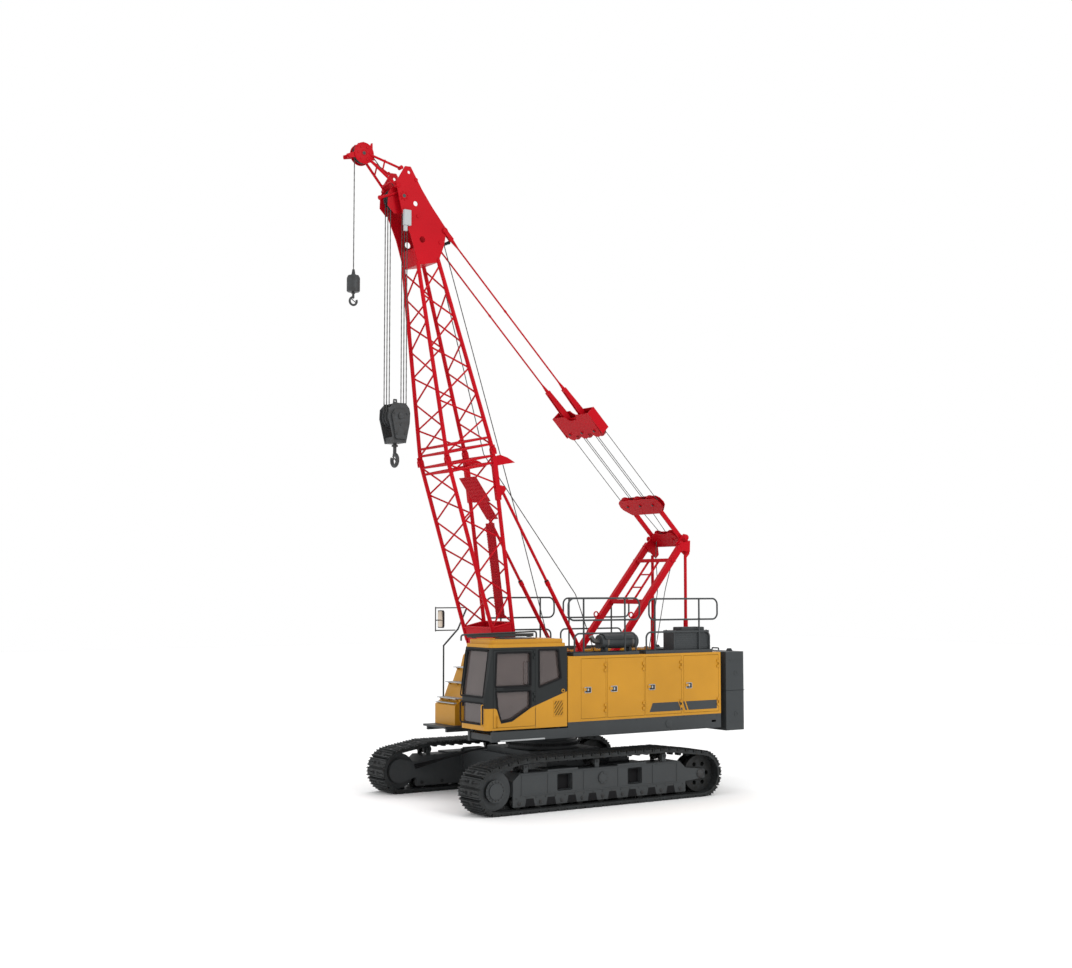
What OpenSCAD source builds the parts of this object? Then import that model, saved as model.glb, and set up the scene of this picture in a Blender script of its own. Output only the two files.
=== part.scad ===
// Crawler crane with a two-section lattice boom, standing on its tracks with the boom raised.
// Millimetres. +X is the crane's front, +Y its left side (the cab's side), +Z up.
// The origin is on the ground under the slewing axis.

/* [Tracks] */
// Distance between the centres of the two tracks
track_gauge = 3460; // [3300:10:3600]
// Width of a track shoe
shoe_w = 660; // [620:10:720]
// Distance from the slewing axis to each end wheel's axle
axle_x = 2290; // [2200:10:2400]
// Outer radius of the track round an end wheel
track_r = 420; // [410:2:430]
// Height of the track's top run
track_top = 945; // [930:5:960]
// Thickness of the track, from the shoes' faces to the running surface
track_t = 70; // [60:2:80]
// Number of shoes in a track
shoe_n = 60; // [56:1:62]
// Gap between two shoes
shoe_gap = 26; // [16:2:34]
// Depth of the gap between two shoes
shoe_plate = 38; // [30:2:44]
// Height of the guide lug inside each shoe
lug_h = 55; // [40:5:60]
// Width of the guide lug
lug_w = 110; // [90:10:120]
// Radius of a lower roller
roller_r = 105; // [95:5:110]
// Number of lower rollers in a track
roller_n = 9; // [7:1:9]
// Radius of a carrier roller
carrier_r = 80; // [70:5:90]
// Width of a side frame
frame_w = 430; // [400:10:440]
// Radius of the round cover on each track drive
drive_cover_r = 195; // [170:5:210]

/* [Upperworks] */
// Half of the width over the machine houses
house_y = 1497; // [1450:5:1520]
// Front end of the houses
house_front = 448; // [430:2:460]
// Rear end of the houses
house_rear = -3206; // [-3230:2:-3190]
// Height of the houses' roofs
house_top = 2676; // [2600:5:2720]
// Height where the yellow houses stand on the grey skirt
skirt_top = 1480; // [1460:5:1500]
// Height of the skirt's lower edge
skirt_bottom = 1205; // [1190:5:1220]
// Half of the width of the bay between the houses
bay_y = 720; // [700:5:740]
// Thickness of the house walls and doors
wall_t = 32; // [25:1:40]
// Gap round a house door
door_gap = 6; // [5:1:8]
// Front face of the counterweight
cw_front = -3343; // [-3360:2:-3330]
// Length of the counterweight
cw_len = 519; // [480:5:560]
// Height of the counterweight's lower face
cw_bottom = 1134; // [1120:2:1150]
// Height of the joint between the two counterweight slabs
cw_split = 1912; // [1850:5:1950]
// Radius of the counterweight's rear corners
cw_corner = 110; // [80:5:140]

/* [Cab] */
// Inner side of the cab, beside the boom
cab_in = 600; // [590:2:610]
// Height of the cab's floor edge
cab_bottom = 1412; // [1405:1:1425]
// Height of the edge where the roof cap sits
cab_eave = 2866; // [2840:2:2890]
// Height of the roof cap
cab_cap = 135; // [110:5:150]
// Rear wall of the cab
cab_rear = 468; // [462:1:475]
// Front of the cab at its floor
cab_nose = 2205; // [2180:5:2230]
// Thickness of the cab's walls
cab_t = 42; // [36:1:50]
// Thickness of the glass
glass_t = 8; // [6:1:10]
// Rear edge of the cab door, at its hinges
door_rear = 1165; // [1150:5:1180]
// Front edge of the cab door
door_front = 2060; // [2050:2:2070]

/* [Boom] */
// Boom foot pin, ahead of the slewing axis
foot_x = 866; // [856:2:876]
// Boom foot pin, above the ground
foot_z = 1514; // [1500:2:1530]
// Angle of the boom above the horizontal
boom_angle = 77.5; // [76:0.5:78.5]
// Length from the foot pin to the joint of the two sections
base_len = 5000; // [4960:5:5040]
// Length of the head section, to the end of its lattice
top_len = 3630; // [3600:5:3660]
// Distance between the chords across the boom
boom_w = 1010; // [990:2:1020]
// Distance between the chords front to back, at the section joint
boom_d = 1000; // [980:5:1010]
// Distance between the chords across the boom, at the head
head_w = 560; // [550:2:570]
// Distance between the chords front to back, at the head
head_d = 440; // [420:5:450]
// Distance between the chords front to back, at the foot
foot_d = 165; // [155:5:180]
// Diameter of a chord
chord_d = 76; // [70:2:80]
// Diameter of a lacing tube
lace_d = 34; // [28:2:40]
// Thickness of a head plate
plate_t = 22; // [18:1:26]

/* [Hoists] */
// Pitch radius of the main sheaves
sheave_r = 175; // [165:5:180]
// Distance between two main sheaves
sheave_pitch = 100; // [95:5:110]
// Diameter of the hoist rope
rope_d = 18; // [16:1:20]
// Height of the hook block's sheave shaft
block_z = 7050; // [6950:10:7150]
// Pitch radius of the jib sheave
jib_sheave_r = 150; // [140:5:160]
// Height of the top of the auxiliary hook's rope socket
aux_z = 9680; // [9600:10:9750]
// Radius of the auxiliary hook's weight
weight_r = 120; // [110:5:130]
// Height of the auxiliary hook's weight
weight_h = 310; // [280:10:330]
// Diameter of the hooks' round bar
hook_d = 70; // [60:5:80]

/* [Gantry] */
// Gantry head pin, behind the slewing axis
gantry_x = -3090; // [-3110:5:-3070]
// Gantry head pin, above the ground
gantry_z = 4950; // [4900:10:5000]
// Half of the distance between the gantry's head plates
gantry_y = 500; // [490:2:510]
// Foot of the gantry legs
leg_x = -420; // [-450:5:-400]
// Half of the distance between the gantry legs, at their feet
leg_y = 600; // [594:2:606]
// Pitch radius of the luffing sheaves, which lie flat in the spreaders
luff_r = 172; // [165:1:176]
// Distance between two luffing sheaves across the crane
luff_pitch = 410; // [405:1:420]
// Distance from the gantry head pin to the lower spreader's shaft
lower_dist = 950; // [900:10:1000]
// Distance from the boom head pin to the upper spreader's shaft
upper_dist = 4880; // [4800:10:4950]
// Diameter of a pendant
pendant_d = 32; // [28:2:38]
// Pivot of the backstops on the deck
stop_x = -1150; // [-1170:5:-1130]
// Half of the distance between the backstops
stop_y = 458; // [452:1:462]
// Diameter of a backstop tube
stop_d = 76; // [70:2:80]

/* [Hidden] */
$fn = 48;

red = "#d8121f";
yellow = "#e8a11d";
slate = "#454b50";
black = "#1d1f21";
steel = "#8f9498";
glass = "#5d5453";
seat = 0.3;       // running gap between pieces that carry each other
run = 6;          // clearance between pieces that pass each other

// Places that follow from the sizes above
tilt = 90 - boom_angle;
frame_in = track_gauge / 2 - frame_w / 2;
frame_out = track_gauge / 2 + frame_w / 2;
carrier_front = 1700;
carrier_rear = -1500;

function on_boom(x, z) = [foot_x + x * cos(tilt) + z * sin(tilt), 0,
    foot_z - x * sin(tilt) + z * cos(tilt)];

module at_boom() translate([foot_x, 0, foot_z]) rotate([0, tilt, 0]) children();
module both_sides() {
    children();
    mirror([0, 1, 0]) children();
}

// A round bar from p to q, turned about its own axis
module bar(p, q, d, fn = 16, turn = 0) {
    v = q - p;
    translate(p) rotate([0, acos(v[2] / norm(v)), atan2(v[1], v[0])]) rotate([0, 0, turn])
        cylinder(h = norm(v), d = d, $fn = fn);
}
// A rectangular bar from p to q, w across and t in the plane of its length
module beam(p, q, w, t) {
    v = q - p;
    translate(p) rotate([0, acos(v[2] / norm(v)), atan2(v[1], v[0])])
        translate([-t / 2, -w / 2, 0]) cube([t, w, norm(v)]);
}
// A plate in the XZ plane, from y to y + t, with the given outline
module side_plate(points, y, t) translate([0, y + t, 0]) rotate([90, 0, 0])
    linear_extrude(t) polygon(points);
// A disc whose axis lies along Y, from y to y + t
module disc(x, z, r, y, t, fn = 48) translate([x, y + t, z]) rotate([90, 0, 0])
    cylinder(h = t, r = r, $fn = fn);
// A flat shape in the XY plane with rounded corners, from its lowest corner
module rounded(w, h, r) {
    translate([r, 0]) square([w - 2 * r, h]);
    translate([0, r]) square([w, h - 2 * r]);
    for (x = [r, w - r], y = [r, h - r]) translate([x, y]) circle(r = r);
}
// A window cut through a wall in the XZ plane
module window(x, z, w, h, r, y, t) translate([x, y + t, z]) rotate([90, 0, 0])
    linear_extrude(t) rounded(w, h, r);

// Track: a loop of straight runs and arcs, measured by the distance s along its outer face.
arm_f = [carrier_front - axle_x, track_top - track_r];
arm_r = [carrier_rear + axle_x, track_top - track_r];
top_f = atan2(arm_f[1], arm_f[0]) - acos(track_r / norm(arm_f));
top_r = atan2(arm_r[1], arm_r[0]) + acos(track_r / norm(arm_r));
run_1 = 2 * axle_x;
run_2 = run_1 + track_r * PI / 180 * (90 + top_f);
run_3 = run_2 + sqrt(norm(arm_f) ^ 2 - track_r ^ 2);
run_4 = run_3 + carrier_front - carrier_rear;
run_5 = run_4 + sqrt(norm(arm_r) ^ 2 - track_r ^ 2);
run_6 = run_5 + track_r * PI / 180 * (270 - top_r);
shoe_pitch = run_6 / shoe_n;
wheel_r = (track_r - track_t) * cos(shoe_pitch / track_r * 90 / PI) - seat;

function arc_at(x, a, depth) = [x + (track_r - depth) * cos(a), track_r + (track_r - depth) * sin(a)];
function line_at(p, h, u, depth) = [p[0] + u * cos(h) - depth * sin(h), p[1] + u * sin(h) + depth * cos(h)];
function loop_at(s, depth) =
    s < run_1 ? [s - axle_x, depth] :
    s < run_2 ? arc_at(axle_x, -90 + (s - run_1) / track_r * 180 / PI, depth) :
    s < run_3 ? line_at(arc_at(axle_x, top_f, 0), top_f + 90, s - run_2, depth) :
    s < run_4 ? [carrier_front - (s - run_3), track_top - depth] :
    s < run_5 ? line_at([carrier_rear, track_top], top_r + 90, s - run_4, depth) :
    arc_at(-axle_x, top_r + (s - run_5) / track_r * 180 / PI, depth);

module track(side) color(black) translate([0, side * track_gauge / 2, 0]) rotate([90, 0, 0]) {
    outer = [for (i = [0 : shoe_n - 1], k = [0 : 3])
        loop_at(i * shoe_pitch + (k < 2 ? shoe_gap / 2 : shoe_pitch - shoe_gap / 2),
            k == 0 || k == 3 ? shoe_plate : 0)];
    inner = [for (i = [0 : shoe_n - 1]) loop_at(i * shoe_pitch, track_t)];
    linear_extrude(shoe_w, center = true) difference() {
        polygon(outer);
        polygon(inner);
    }
    for (i = [0 : shoe_n - 1]) {
        mid = (i + 0.5) * shoe_pitch;
        linear_extrude(lug_w, center = true) polygon([
            loop_at(mid - 48, track_t - 6), loop_at(mid - 26, track_t + lug_h),
            loop_at(mid + 26, track_t + lug_h), loop_at(mid + 48, track_t - 6)]);
    }
}

// Rollers run on the two rails beside the guide lugs.
rim_gap = lug_w / 2 + 12;
rim_w = 90;
cheek_t = 30;
roller_z = track_t + roller_r + seat;
carrier_z = track_top - track_t - carrier_r - seat;
roller_x = [for (i = [0 : roller_n - 1]) -1800 + i * 3600 / (roller_n - 1)];
carrier_xs = [carrier_rear + 60, (carrier_front + carrier_rear) / 2, carrier_front - 60];
pin_r = 36;

module wheel(x, z, r, groove, side) {
    y = side * track_gauge / 2;
    for (s = [-1, 1])
        disc(x, z, r, y + s * (rim_gap + rim_w / 2) - rim_w / 2, rim_w);
    disc(x, z, r - groove, y - rim_gap, 2 * rim_gap);
}
module track_rollers() color(black) for (side = [-1, 1]) {
    y = side * track_gauge / 2;
    for (x = roller_x) {
        wheel(x, roller_z, roller_r, lug_h + 12, side);
        disc(x, roller_z, pin_r, y - frame_w / 2, frame_w, 24);
    }
    for (x = carrier_xs) {
        wheel(x, carrier_z, carrier_r, lug_h + 6, side);
        disc(x, carrier_z, 22, y - rim_gap - rim_w - 24, 2 * (rim_gap + rim_w + 24), 24);
    }
}
idler_pin_r = 60;
module idlers() color(black) for (side = [-1, 1]) {
    y = side * track_gauge / 2;
    difference() {
        union() {
            wheel(-axle_x, track_r, wheel_r, lug_h + 15, side);
            disc(-axle_x, track_r, 110, y - rim_gap - rim_w - 20, 2 * (rim_gap + rim_w + 20));
        }
        for (a = [0 : 60 : 300]) disc(-axle_x + 195 * cos(a), track_r + 195 * sin(a), 42,
            y - frame_w, 2 * frame_w, 24);
    }
    disc(-axle_x, track_r, idler_pin_r, y - frame_w / 2, frame_w, 24);
}
drive_in = 25;     // gap between a drive and its frame arm
module drive_tumblers() color(slate) for (side = [-1, 1]) {
    y = side * track_gauge / 2;
    wheel(axle_x, track_r, wheel_r, lug_h + 15, side);
    out = side > 0 ? y : y - frame_w / 2 - 10;
    disc(axle_x, track_r, drive_cover_r, out, frame_w / 2 + 10);
    disc(axle_x, track_r, drive_cover_r - 60, side > 0 ? y + frame_w / 2 + 10 : y - frame_w / 2 - 30, 20);
    hub = side > 0 ? y - frame_w / 2 + cheek_t + seat : y;
    disc(axle_x, track_r, 240, hub, frame_w / 2 - cheek_t - seat);
}

frame_low = 290;
frame_high = 690;
frame_end = 1930;
module side_frames() color(slate) for (side = [-1, 1]) {
    y = side * track_gauge / 2;
    y0 = y - frame_w / 2;
    difference() {
        union() {
            side_plate([[-frame_end, frame_low], [frame_end, frame_low], [frame_end, 560],
                [1780, frame_high], [-1780, frame_high], [-frame_end, 560]], y0, frame_w);
            for (k = [0, 1]) side_plate([[-frame_end, roller_z - 62], [frame_end, roller_z - 62],
                [frame_end, frame_low + 10], [-frame_end, frame_low + 10]],
                k == 0 ? y0 : y0 + frame_w - cheek_t, cheek_t);
            // Arms that carry the idler's axle
            for (k = [0, 1]) side_plate([[-axle_x - 110, 340], [-frame_end + 60, 300],
                [-frame_end + 60, 560], [-axle_x - 110, 500]],
                k == 0 ? y0 : y0 + frame_w - cheek_t, cheek_t);
            // Round arm that carries the track drive, on the inner side only
            arm_y = side > 0 ? y0 : y0 + frame_w - cheek_t;
            side_plate([[frame_end - 60, 300], [axle_x, 190], [axle_x, 650], [frame_end - 60, 560]], arm_y, cheek_t);
            disc(axle_x, track_r, 230, arm_y, cheek_t);
            // Brackets of the carrier rollers
            for (x = carrier_xs, s = [-1, 1])
                translate([x - 45, y + s * (rim_gap + rim_w + 15) - 9, frame_high - 5])
                    cube([90, 18, carrier_z + 40 - frame_high]);
            // Guards over the frame between the carrier rollers
            for (k = [0, 1]) translate([(carrier_xs[k] + carrier_xs[k + 1]) / 2 - 330, y0, frame_high - 1])
                cube([660, frame_w, 30]);
        }
        for (x = roller_x) disc(x, roller_z, pin_r + seat, y0 - 1, frame_w + 2, 24);
        disc(-axle_x, track_r, idler_pin_r + seat, y0 - 1, frame_w + 2, 24);
        for (x = carrier_xs) disc(x, carrier_z, 22 + seat, y0 - 1, frame_w + 2, 24);
        // Inspection windows in the outer face
        for (x = [-735, 830]) window(x - 150, 350, 300, 270, 18, side > 0 ? y0 + frame_w - 120 : y0 - 1, 121);
        // Room above the lower rollers
        for (x = roller_x) disc(x, roller_z, roller_r + 12, y0 + cheek_t, frame_w - 2 * cheek_t);
        disc(-axle_x, track_r, wheel_r + 25, y0 + cheek_t, frame_w - 2 * cheek_t);
        disc(axle_x, track_r, wheel_r + 25, side > 0 ? y0 + cheek_t : y0 - 1, frame_w - cheek_t + 1);
    }
    disc(-7, 500, 105, side > 0 ? y0 + frame_w - 1 : y0 - 24, 25);
}

ring_r = 670;
ring_mid = 1040;
deck_low = 1150;
body_low = 380;
body_high = 900;
module carbody() color(slate) {
    difference() {
        union() {
            for (x = [-700, 700]) translate([x - 190, -frame_in + seat, body_low])
                cube([380, 2 * (frame_in - seat), 420]);
            translate([-780, -760, body_low]) cube([1560, 1520, body_high - body_low]);
            translate([0, 0, body_high - 1]) cylinder(h = ring_mid - body_high + 1, r = ring_r, $fn = 64);
            both_sides() for (x = [-700, 700]) side_plate([[x - 230, 420], [x + 230, 420], [x + 230, 780],
                [x - 230, 780]], frame_in - 40 - seat, 40);
        }
        translate([0, 0, body_low - 1]) cylinder(h = 800, r = ring_r - 130, $fn = 64);
    }
}

// Brackets on the deck
lug_t = 28;
foot_lug = 54;       // width of a boom foot
foot_pin_r = 45;
module foot_bracket() for (y = [boom_w / 2 - foot_lug / 2 - run - lug_t, boom_w / 2 + foot_lug / 2 + run])
    difference() {
        union() {
            side_plate([[foot_x - 330, deck_low + 40], [foot_x + 190, deck_low + 40], [foot_x + 105, foot_z],
                [foot_x - 105, foot_z]], y, lug_t);
            disc(foot_x, foot_z, 105, y, lug_t);
        }
        disc(foot_x, foot_z, foot_pin_r + seat, y - 1, lug_t + 2);
    }
leg_w = 100;
leg_t = 120;
leg_z = 1640;
stop_z = 1750;
module deck_frame() color(slate) {
    difference() {
        union() {
            // Slewing table and the two long beams
            translate([0, 0, ring_mid + seat]) cylinder(h = deck_low - ring_mid + 1, r = ring_r - 40, $fn = 64);
            both_sides() translate([cw_front + seat, 330, deck_low]) cube([foot_x + 190 - cw_front, 110, 250]);
            translate([house_rear, -bay_y, deck_low]) cube([foot_x + 150 - house_rear, 2 * bay_y, 60]);
            // Floor under the houses and the skirts
            both_sides() {
                translate([house_rear, bay_y - 1, skirt_bottom + 20])
                    cube([house_front - house_rear, house_y - bay_y - 20, 30]);
                difference() {
                    translate([house_rear, house_y - 40, skirt_bottom])
                        cube([house_front - house_rear, 40, skirt_top - skirt_bottom - seat]);
                    window(-3085, 1318, 120, 42, 20, house_y - 60, 80);
                }
                for (x = [house_rear, -2980, -1000, house_front - 60])
                    translate([x, bay_y, skirt_bottom + 20])
                        cube([60, house_y - bay_y - 30, skirt_top - skirt_bottom - 20 - seat]);
                translate([house_rear, bay_y - 1, deck_low])
                    cube([house_front - house_rear, 40, skirt_top - deck_low - seat]);
                foot_bracket();
            }
            // Cross members joining the boom foot brackets
            translate([foot_x - 300, -boom_w / 2 - foot_lug / 2 - run - lug_t, deck_low])
                cube([490, boom_w + foot_lug + 2 * run + 2 * lug_t, 80]);
            // Gantry feet
            both_sides() for (y = [leg_y - leg_w / 2 - lug_t - run, leg_y + leg_w / 2 + run])
                side_plate([[leg_x - 170, deck_low + 20],
                [leg_x + 170, deck_low + 20], [leg_x + 70, leg_z + 60], [leg_x - 70, leg_z + 60]], y, lug_t);
            // Backstop feet
            both_sides() for (y = [stop_y - stop_d / 2 - run - lug_t, stop_y + stop_d / 2 + run])
                side_plate([[stop_x - 150, deck_low + 20],
                [stop_x + 150, deck_low + 20], [stop_x + 60, stop_z + 50], [stop_x - 60, stop_z + 50]], y, lug_t);
            // Cab carrier with its four mounts
            translate([house_front - 1, cab_in + 20, deck_low + 20]) cube([cab_nose - house_front - 150, 70, 170]);
            translate([house_front - 1, house_y - 130, skirt_bottom]) cube([cab_nose - house_front - 150, 110, 120]);
            for (x = [house_front + 60, cab_nose - 290]) translate([x, bay_y - 60, skirt_bottom + 10])
                cube([120, house_y - bay_y - 20, 110]);
            for (x = [house_front + 160, cab_nose - 230], y = [cab_in + 70, house_y - 95])
                translate([x, y, skirt_bottom + 50])
                    cylinder(h = cab_bottom - skirt_bottom - 50 - seat, r = 34, $fn = 24);
            // Grey apron below the cab
            translate([house_front - 1, house_y - 22, skirt_bottom])
                cube([cab_nose - house_front - 110, 20, cab_bottom - skirt_bottom - 30]);
            // Step platform on the right
            translate([house_front - 1, -house_y + 10, skirt_bottom + 60]) cube([1350, house_y - 640, 40]);
            for (y = [-house_y + 60, -720]) translate([house_front - 1, y, skirt_bottom - 10]) cube([1300, 60, 80]);
        }
        both_sides() {
            disc(leg_x, leg_z, 32 + seat, leg_y - 200, 400, 24);
            disc(stop_x, stop_z, 28 + seat, stop_y - 200, 400, 24);
        }
    }
}

// Machine houses: sheet boxes open below, standing on the skirts, with a doorway for each door
door_low = skirt_top + 45;
door_high = house_top - 48;
doors_left = [159, -441, -1338, -2244, -3156];
doors_right = [-250, -1200, -2170, -3156];
hinge_y = house_y + 13.5;
hinge_r = 12;
hinge_z = [door_low + 160, door_high - 200];
hinge_h = 50;
knuckle_gap = 0.6;

module knuckle(x, y, z, h) translate([x, y, z]) cylinder(h = h, r = hinge_r, $fn = 24);
// The fixed half of a hinge: a middle knuckle, its strap on the wall behind x, and the pin
module hinge_post(x, y, z, wall_y) {
    knuckle(x, y, z, hinge_h);
    translate([x - 18, wall_y - 1, z]) cube([18, y - wall_y + 1, hinge_h]);
    translate([x, y, z - hinge_h]) cylinder(h = 3 * hinge_h, r = 5, $fn = 24);
}
// The moving half: two knuckles, each with a strap on the leaf in front of x
module hinge_leaf(x, y, z, wall_y) for (k = [-1, 1]) difference() {
    union() {
        knuckle(x, y, z + k * (hinge_h + knuckle_gap), hinge_h);
        translate([x, wall_y - 1, z + k * (hinge_h + knuckle_gap)]) cube([46, y - wall_y + 7, hinge_h]);
    }
    translate([x, y, z - 2 * hinge_h]) cylinder(h = 5 * hinge_h, r = 5 + seat, $fn = 24);
}

module house_shell(doors) {
    difference() {
        translate([house_rear, bay_y, skirt_top])
            cube([house_front - house_rear, house_y - bay_y, house_top - skirt_top]);
        translate([house_rear + wall_t, bay_y + wall_t, skirt_top - 1])
            cube([house_front - house_rear - 2 * wall_t, house_y - bay_y - 2 * wall_t,
                house_top - skirt_top - wall_t + 1]);
        for (i = [0 : len(doors) - 2])
            translate([doors[i + 1] + door_gap / 2 + (i < len(doors) - 2 ? 22 : 0), house_y - wall_t - 1, door_low])
                cube([doors[i] - doors[i + 1] - door_gap - 22, wall_t + 2, door_high - door_low]);
    }
}
module house_door(doors, i) {
    rear = doors[i + 1] + door_gap / 2 + (i < len(doors) - 2 ? 22 : 0);
    front = rear + doors[i] - doors[i + 1] - door_gap - 22;
    difference() {
        union() {
            translate([rear + door_gap, house_y - wall_t, door_low + door_gap])
                cube([front - rear - 2 * door_gap, wall_t, door_high - door_low - 2 * door_gap]);
            for (z = hinge_z) hinge_leaf(rear, hinge_y, z, house_y);
            translate([front - 120, house_y - 1, (door_low + door_high) / 2 - 40]) cube([70, 14, 50]);
        }
        for (z = hinge_z) translate([rear - 1, house_y - wall_t - 1, z - 8]) cube([9, wall_t + 1, 16]);
    }
}
module house(doors) {
    house_shell(doors);
    for (i = [0 : len(doors) - 2], z = hinge_z)
        hinge_post(doors[i + 1] + door_gap / 2 + (i < len(doors) - 2 ? 22 : 0), hinge_y, z, house_y);
}
module house_left() color(yellow) house(doors_left);
module house_right() color(yellow) mirror([0, 1, 0]) house(doors_right);
module house_door_left_1() color(yellow) house_door(doors_left, 0);
module house_door_left_2() color(yellow) house_door(doors_left, 1);
module house_door_left_3() color(yellow) house_door(doors_left, 2);
module house_door_left_4() color(yellow) house_door(doors_left, 3);
module house_door_right_1() color(yellow) mirror([0, 1, 0]) house_door(doors_right, 0);
module house_door_right_2() color(yellow) mirror([0, 1, 0]) house_door(doors_right, 1);
module house_door_right_3() color(yellow) mirror([0, 1, 0]) house_door(doors_right, 2);

engine_floor = skirt_bottom + 50;
module engine() color(steel) {
    translate([-2900, bay_y + 60, engine_floor + seat]) cube([1500, 560, 760]);
    translate([-1400, bay_y + 130, engine_floor + seat]) cube([300, 420, 500]);
}

module counterweight() color(slate) {
    for (z = [[cw_bottom, cw_split - 4], [cw_split + 4, house_top - 5]])
        translate([cw_front - cw_len, -house_y, z[0]]) linear_extrude(z[1] - z[0]) union() {
            rounded(cw_len, 2 * house_y, cw_corner);
            translate([cw_len / 2, 0]) square([cw_len / 2, 2 * house_y]);
        }
    translate([cw_front - cw_len + 20, -house_y + 20, cw_split - 5]) cube([cw_len - 40, 2 * house_y - 40, 10]);
    both_sides() side_plate([[cw_front - cw_len + 60, house_top - 6], [cw_front - cw_len + 220, house_top - 6],
        [cw_front - cw_len + 180, house_top + 50], [cw_front - cw_len + 100, house_top + 50]], 1150, 30);
}

// Cab: its side outline runs from the rear wall over the eave to the sloping windscreen
cab_rake = 120;
cab_wind = cab_nose - cab_rake;
cab_break = 1990;
cab_inner = 12;
cab_sill = [[cab_rear - 1, cab_bottom - 1], [cab_nose + 1, cab_bottom - 1], [cab_nose + 1, 1797], [2024, 1797],
    [1968, 1768], [1896, 1525], [1663, 1552], [1247, 1785], [cab_rear - 1, 2047]];
cab_round = 95;
module cab_block(inset, low, high) intersection() {
    translate([0, house_y - inset, 0]) rotate([90, 0, 0]) linear_extrude(house_y - cab_in - 2 * inset)
        polygon([[cab_rear + inset, low], [cab_nose - inset, low], [cab_nose - inset, cab_break],
            [cab_wind - inset, high], [cab_rear + inset, high]]);
    translate([cab_rear + inset, cab_in + inset, low - 1]) linear_extrude(high - low + 2) {
        rounded(cab_nose - cab_rear - 2 * inset, house_y - cab_in - 2 * inset, inset > 0 ? cab_inner : cab_round);
        square([300, house_y - cab_in - 2 * inset]);
    }
}
module cab_hole() {
    // Door opening
    translate([door_rear, house_y - cab_t - 1, cab_bottom + 40]) linear_extrude(cab_eave - cab_bottom - 80)
        square([door_front - door_rear, cab_t + 2]);
    // Rear quarter window
    side_plate([[1089, 2806], [662, 2804], [603, 2289], [1081, 2140]], house_y - cab_t - 1, cab_t + 2);
    // Windscreen and lower windscreen
    translate([cab_wind - 60, cab_in + 60, 2010]) cube([300, house_y - cab_in - 150, 820]);
    translate([cab_nose - 60, cab_in + 60, 1520]) cube([300, house_y - cab_in - 150, 360]);
    // Right side window and rear window
    translate([cab_rear + 150, cab_in - 1, 1900]) cube([1400, cab_t + 2, 900]);
    translate([cab_rear - 1, cab_in + 130, 2080]) cube([cab_t + 2, house_y - cab_in - 260, 700]);
}
module cab_shell() difference() {
    cab_block(0, cab_bottom, cab_eave);
    cab_block(cab_t, cab_bottom + cab_t, cab_eave + 10);
    cab_hole();
}
module sill_space(over) side_plate([for (p = cab_sill) [p[0], p[1] + over]], cab_in - 5, house_y - cab_in + 10);
module cab_lower() color(yellow) intersection() {
    cab_shell();
    sill_space(-seat / 2);
}
module cab_frame() color(slate) {
    difference() {
        cab_shell();
        sill_space(seat / 2);
    }
    for (z = cab_hinge_z) hinge_post(door_rear, hinge_y, z, house_y);
}
module cab_roof() color(yellow) difference() {
    union() {
        translate([cab_rear, cab_in, cab_eave + seat]) linear_extrude(cab_cap * 0.45)
            rounded(cab_wind - cab_rear + 25, house_y - cab_in, cab_round);
        translate([cab_rear + 35, cab_in + 35, cab_eave + cab_cap * 0.45]) linear_extrude(cab_cap * 0.55)
            rounded(cab_wind - cab_rear - 60, house_y - cab_in - 70, cab_round);
    }
    translate([cab_rear + 60, cab_in + 60, cab_eave - 1])
        cube([cab_wind - cab_rear - 120, house_y - cab_in - 120, cab_cap - 40]);
}
module cab_glass() color(glass) {
    pane = glass_t;
    // Quarter window
    side_plate([[1109, 2826], [642, 2824], [583, 2274], [1101, 2114]], house_y - cab_t - pane - seat, pane);
    side = atan2(cab_rake, cab_eave - cab_break);
    near = cab_in + cab_t + cab_inner + seat;
    across = house_y - cab_t - 38 - near;
    translate([cab_nose - cab_t / cos(side) - seat, near, cab_break]) rotate([0, -side, 0])
        translate([-pane, 0, 20]) cube([pane, across, 810]);
    translate([cab_nose - cab_t - pane - seat, near, 1500]) cube([pane, across, 400]);
    translate([cab_rear + 140, cab_in + cab_t + seat, 1885]) cube([1420, pane, 920]);
    translate([cab_rear + cab_t + seat, cab_in + 110, 2060]) cube([pane, house_y - cab_in - 220, 740]);
}
cab_floor = cab_bottom + cab_t + seat;
module cab_seat() color(black) {
    mid = (cab_in + house_y) / 2;
    translate([900, mid - 150, cab_floor]) cube([360, 300, 260]);
    translate([850, mid - 240, cab_floor + 260]) cube([480, 480, 130]);
    translate([850, mid - 230, cab_floor + 380]) rotate([0, -12, 0]) cube([120, 460, 620]);
    for (y = [mid - 340, mid + 260]) translate([950, y, cab_floor]) cube([420, 80, 560]);
    for (y = [mid - 130, mid + 60]) side_plate([[1700, cab_floor], [1732, cab_floor], [1876, cab_floor + 395],
        [1844, cab_floor + 395]], y, 60);
}

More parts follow.
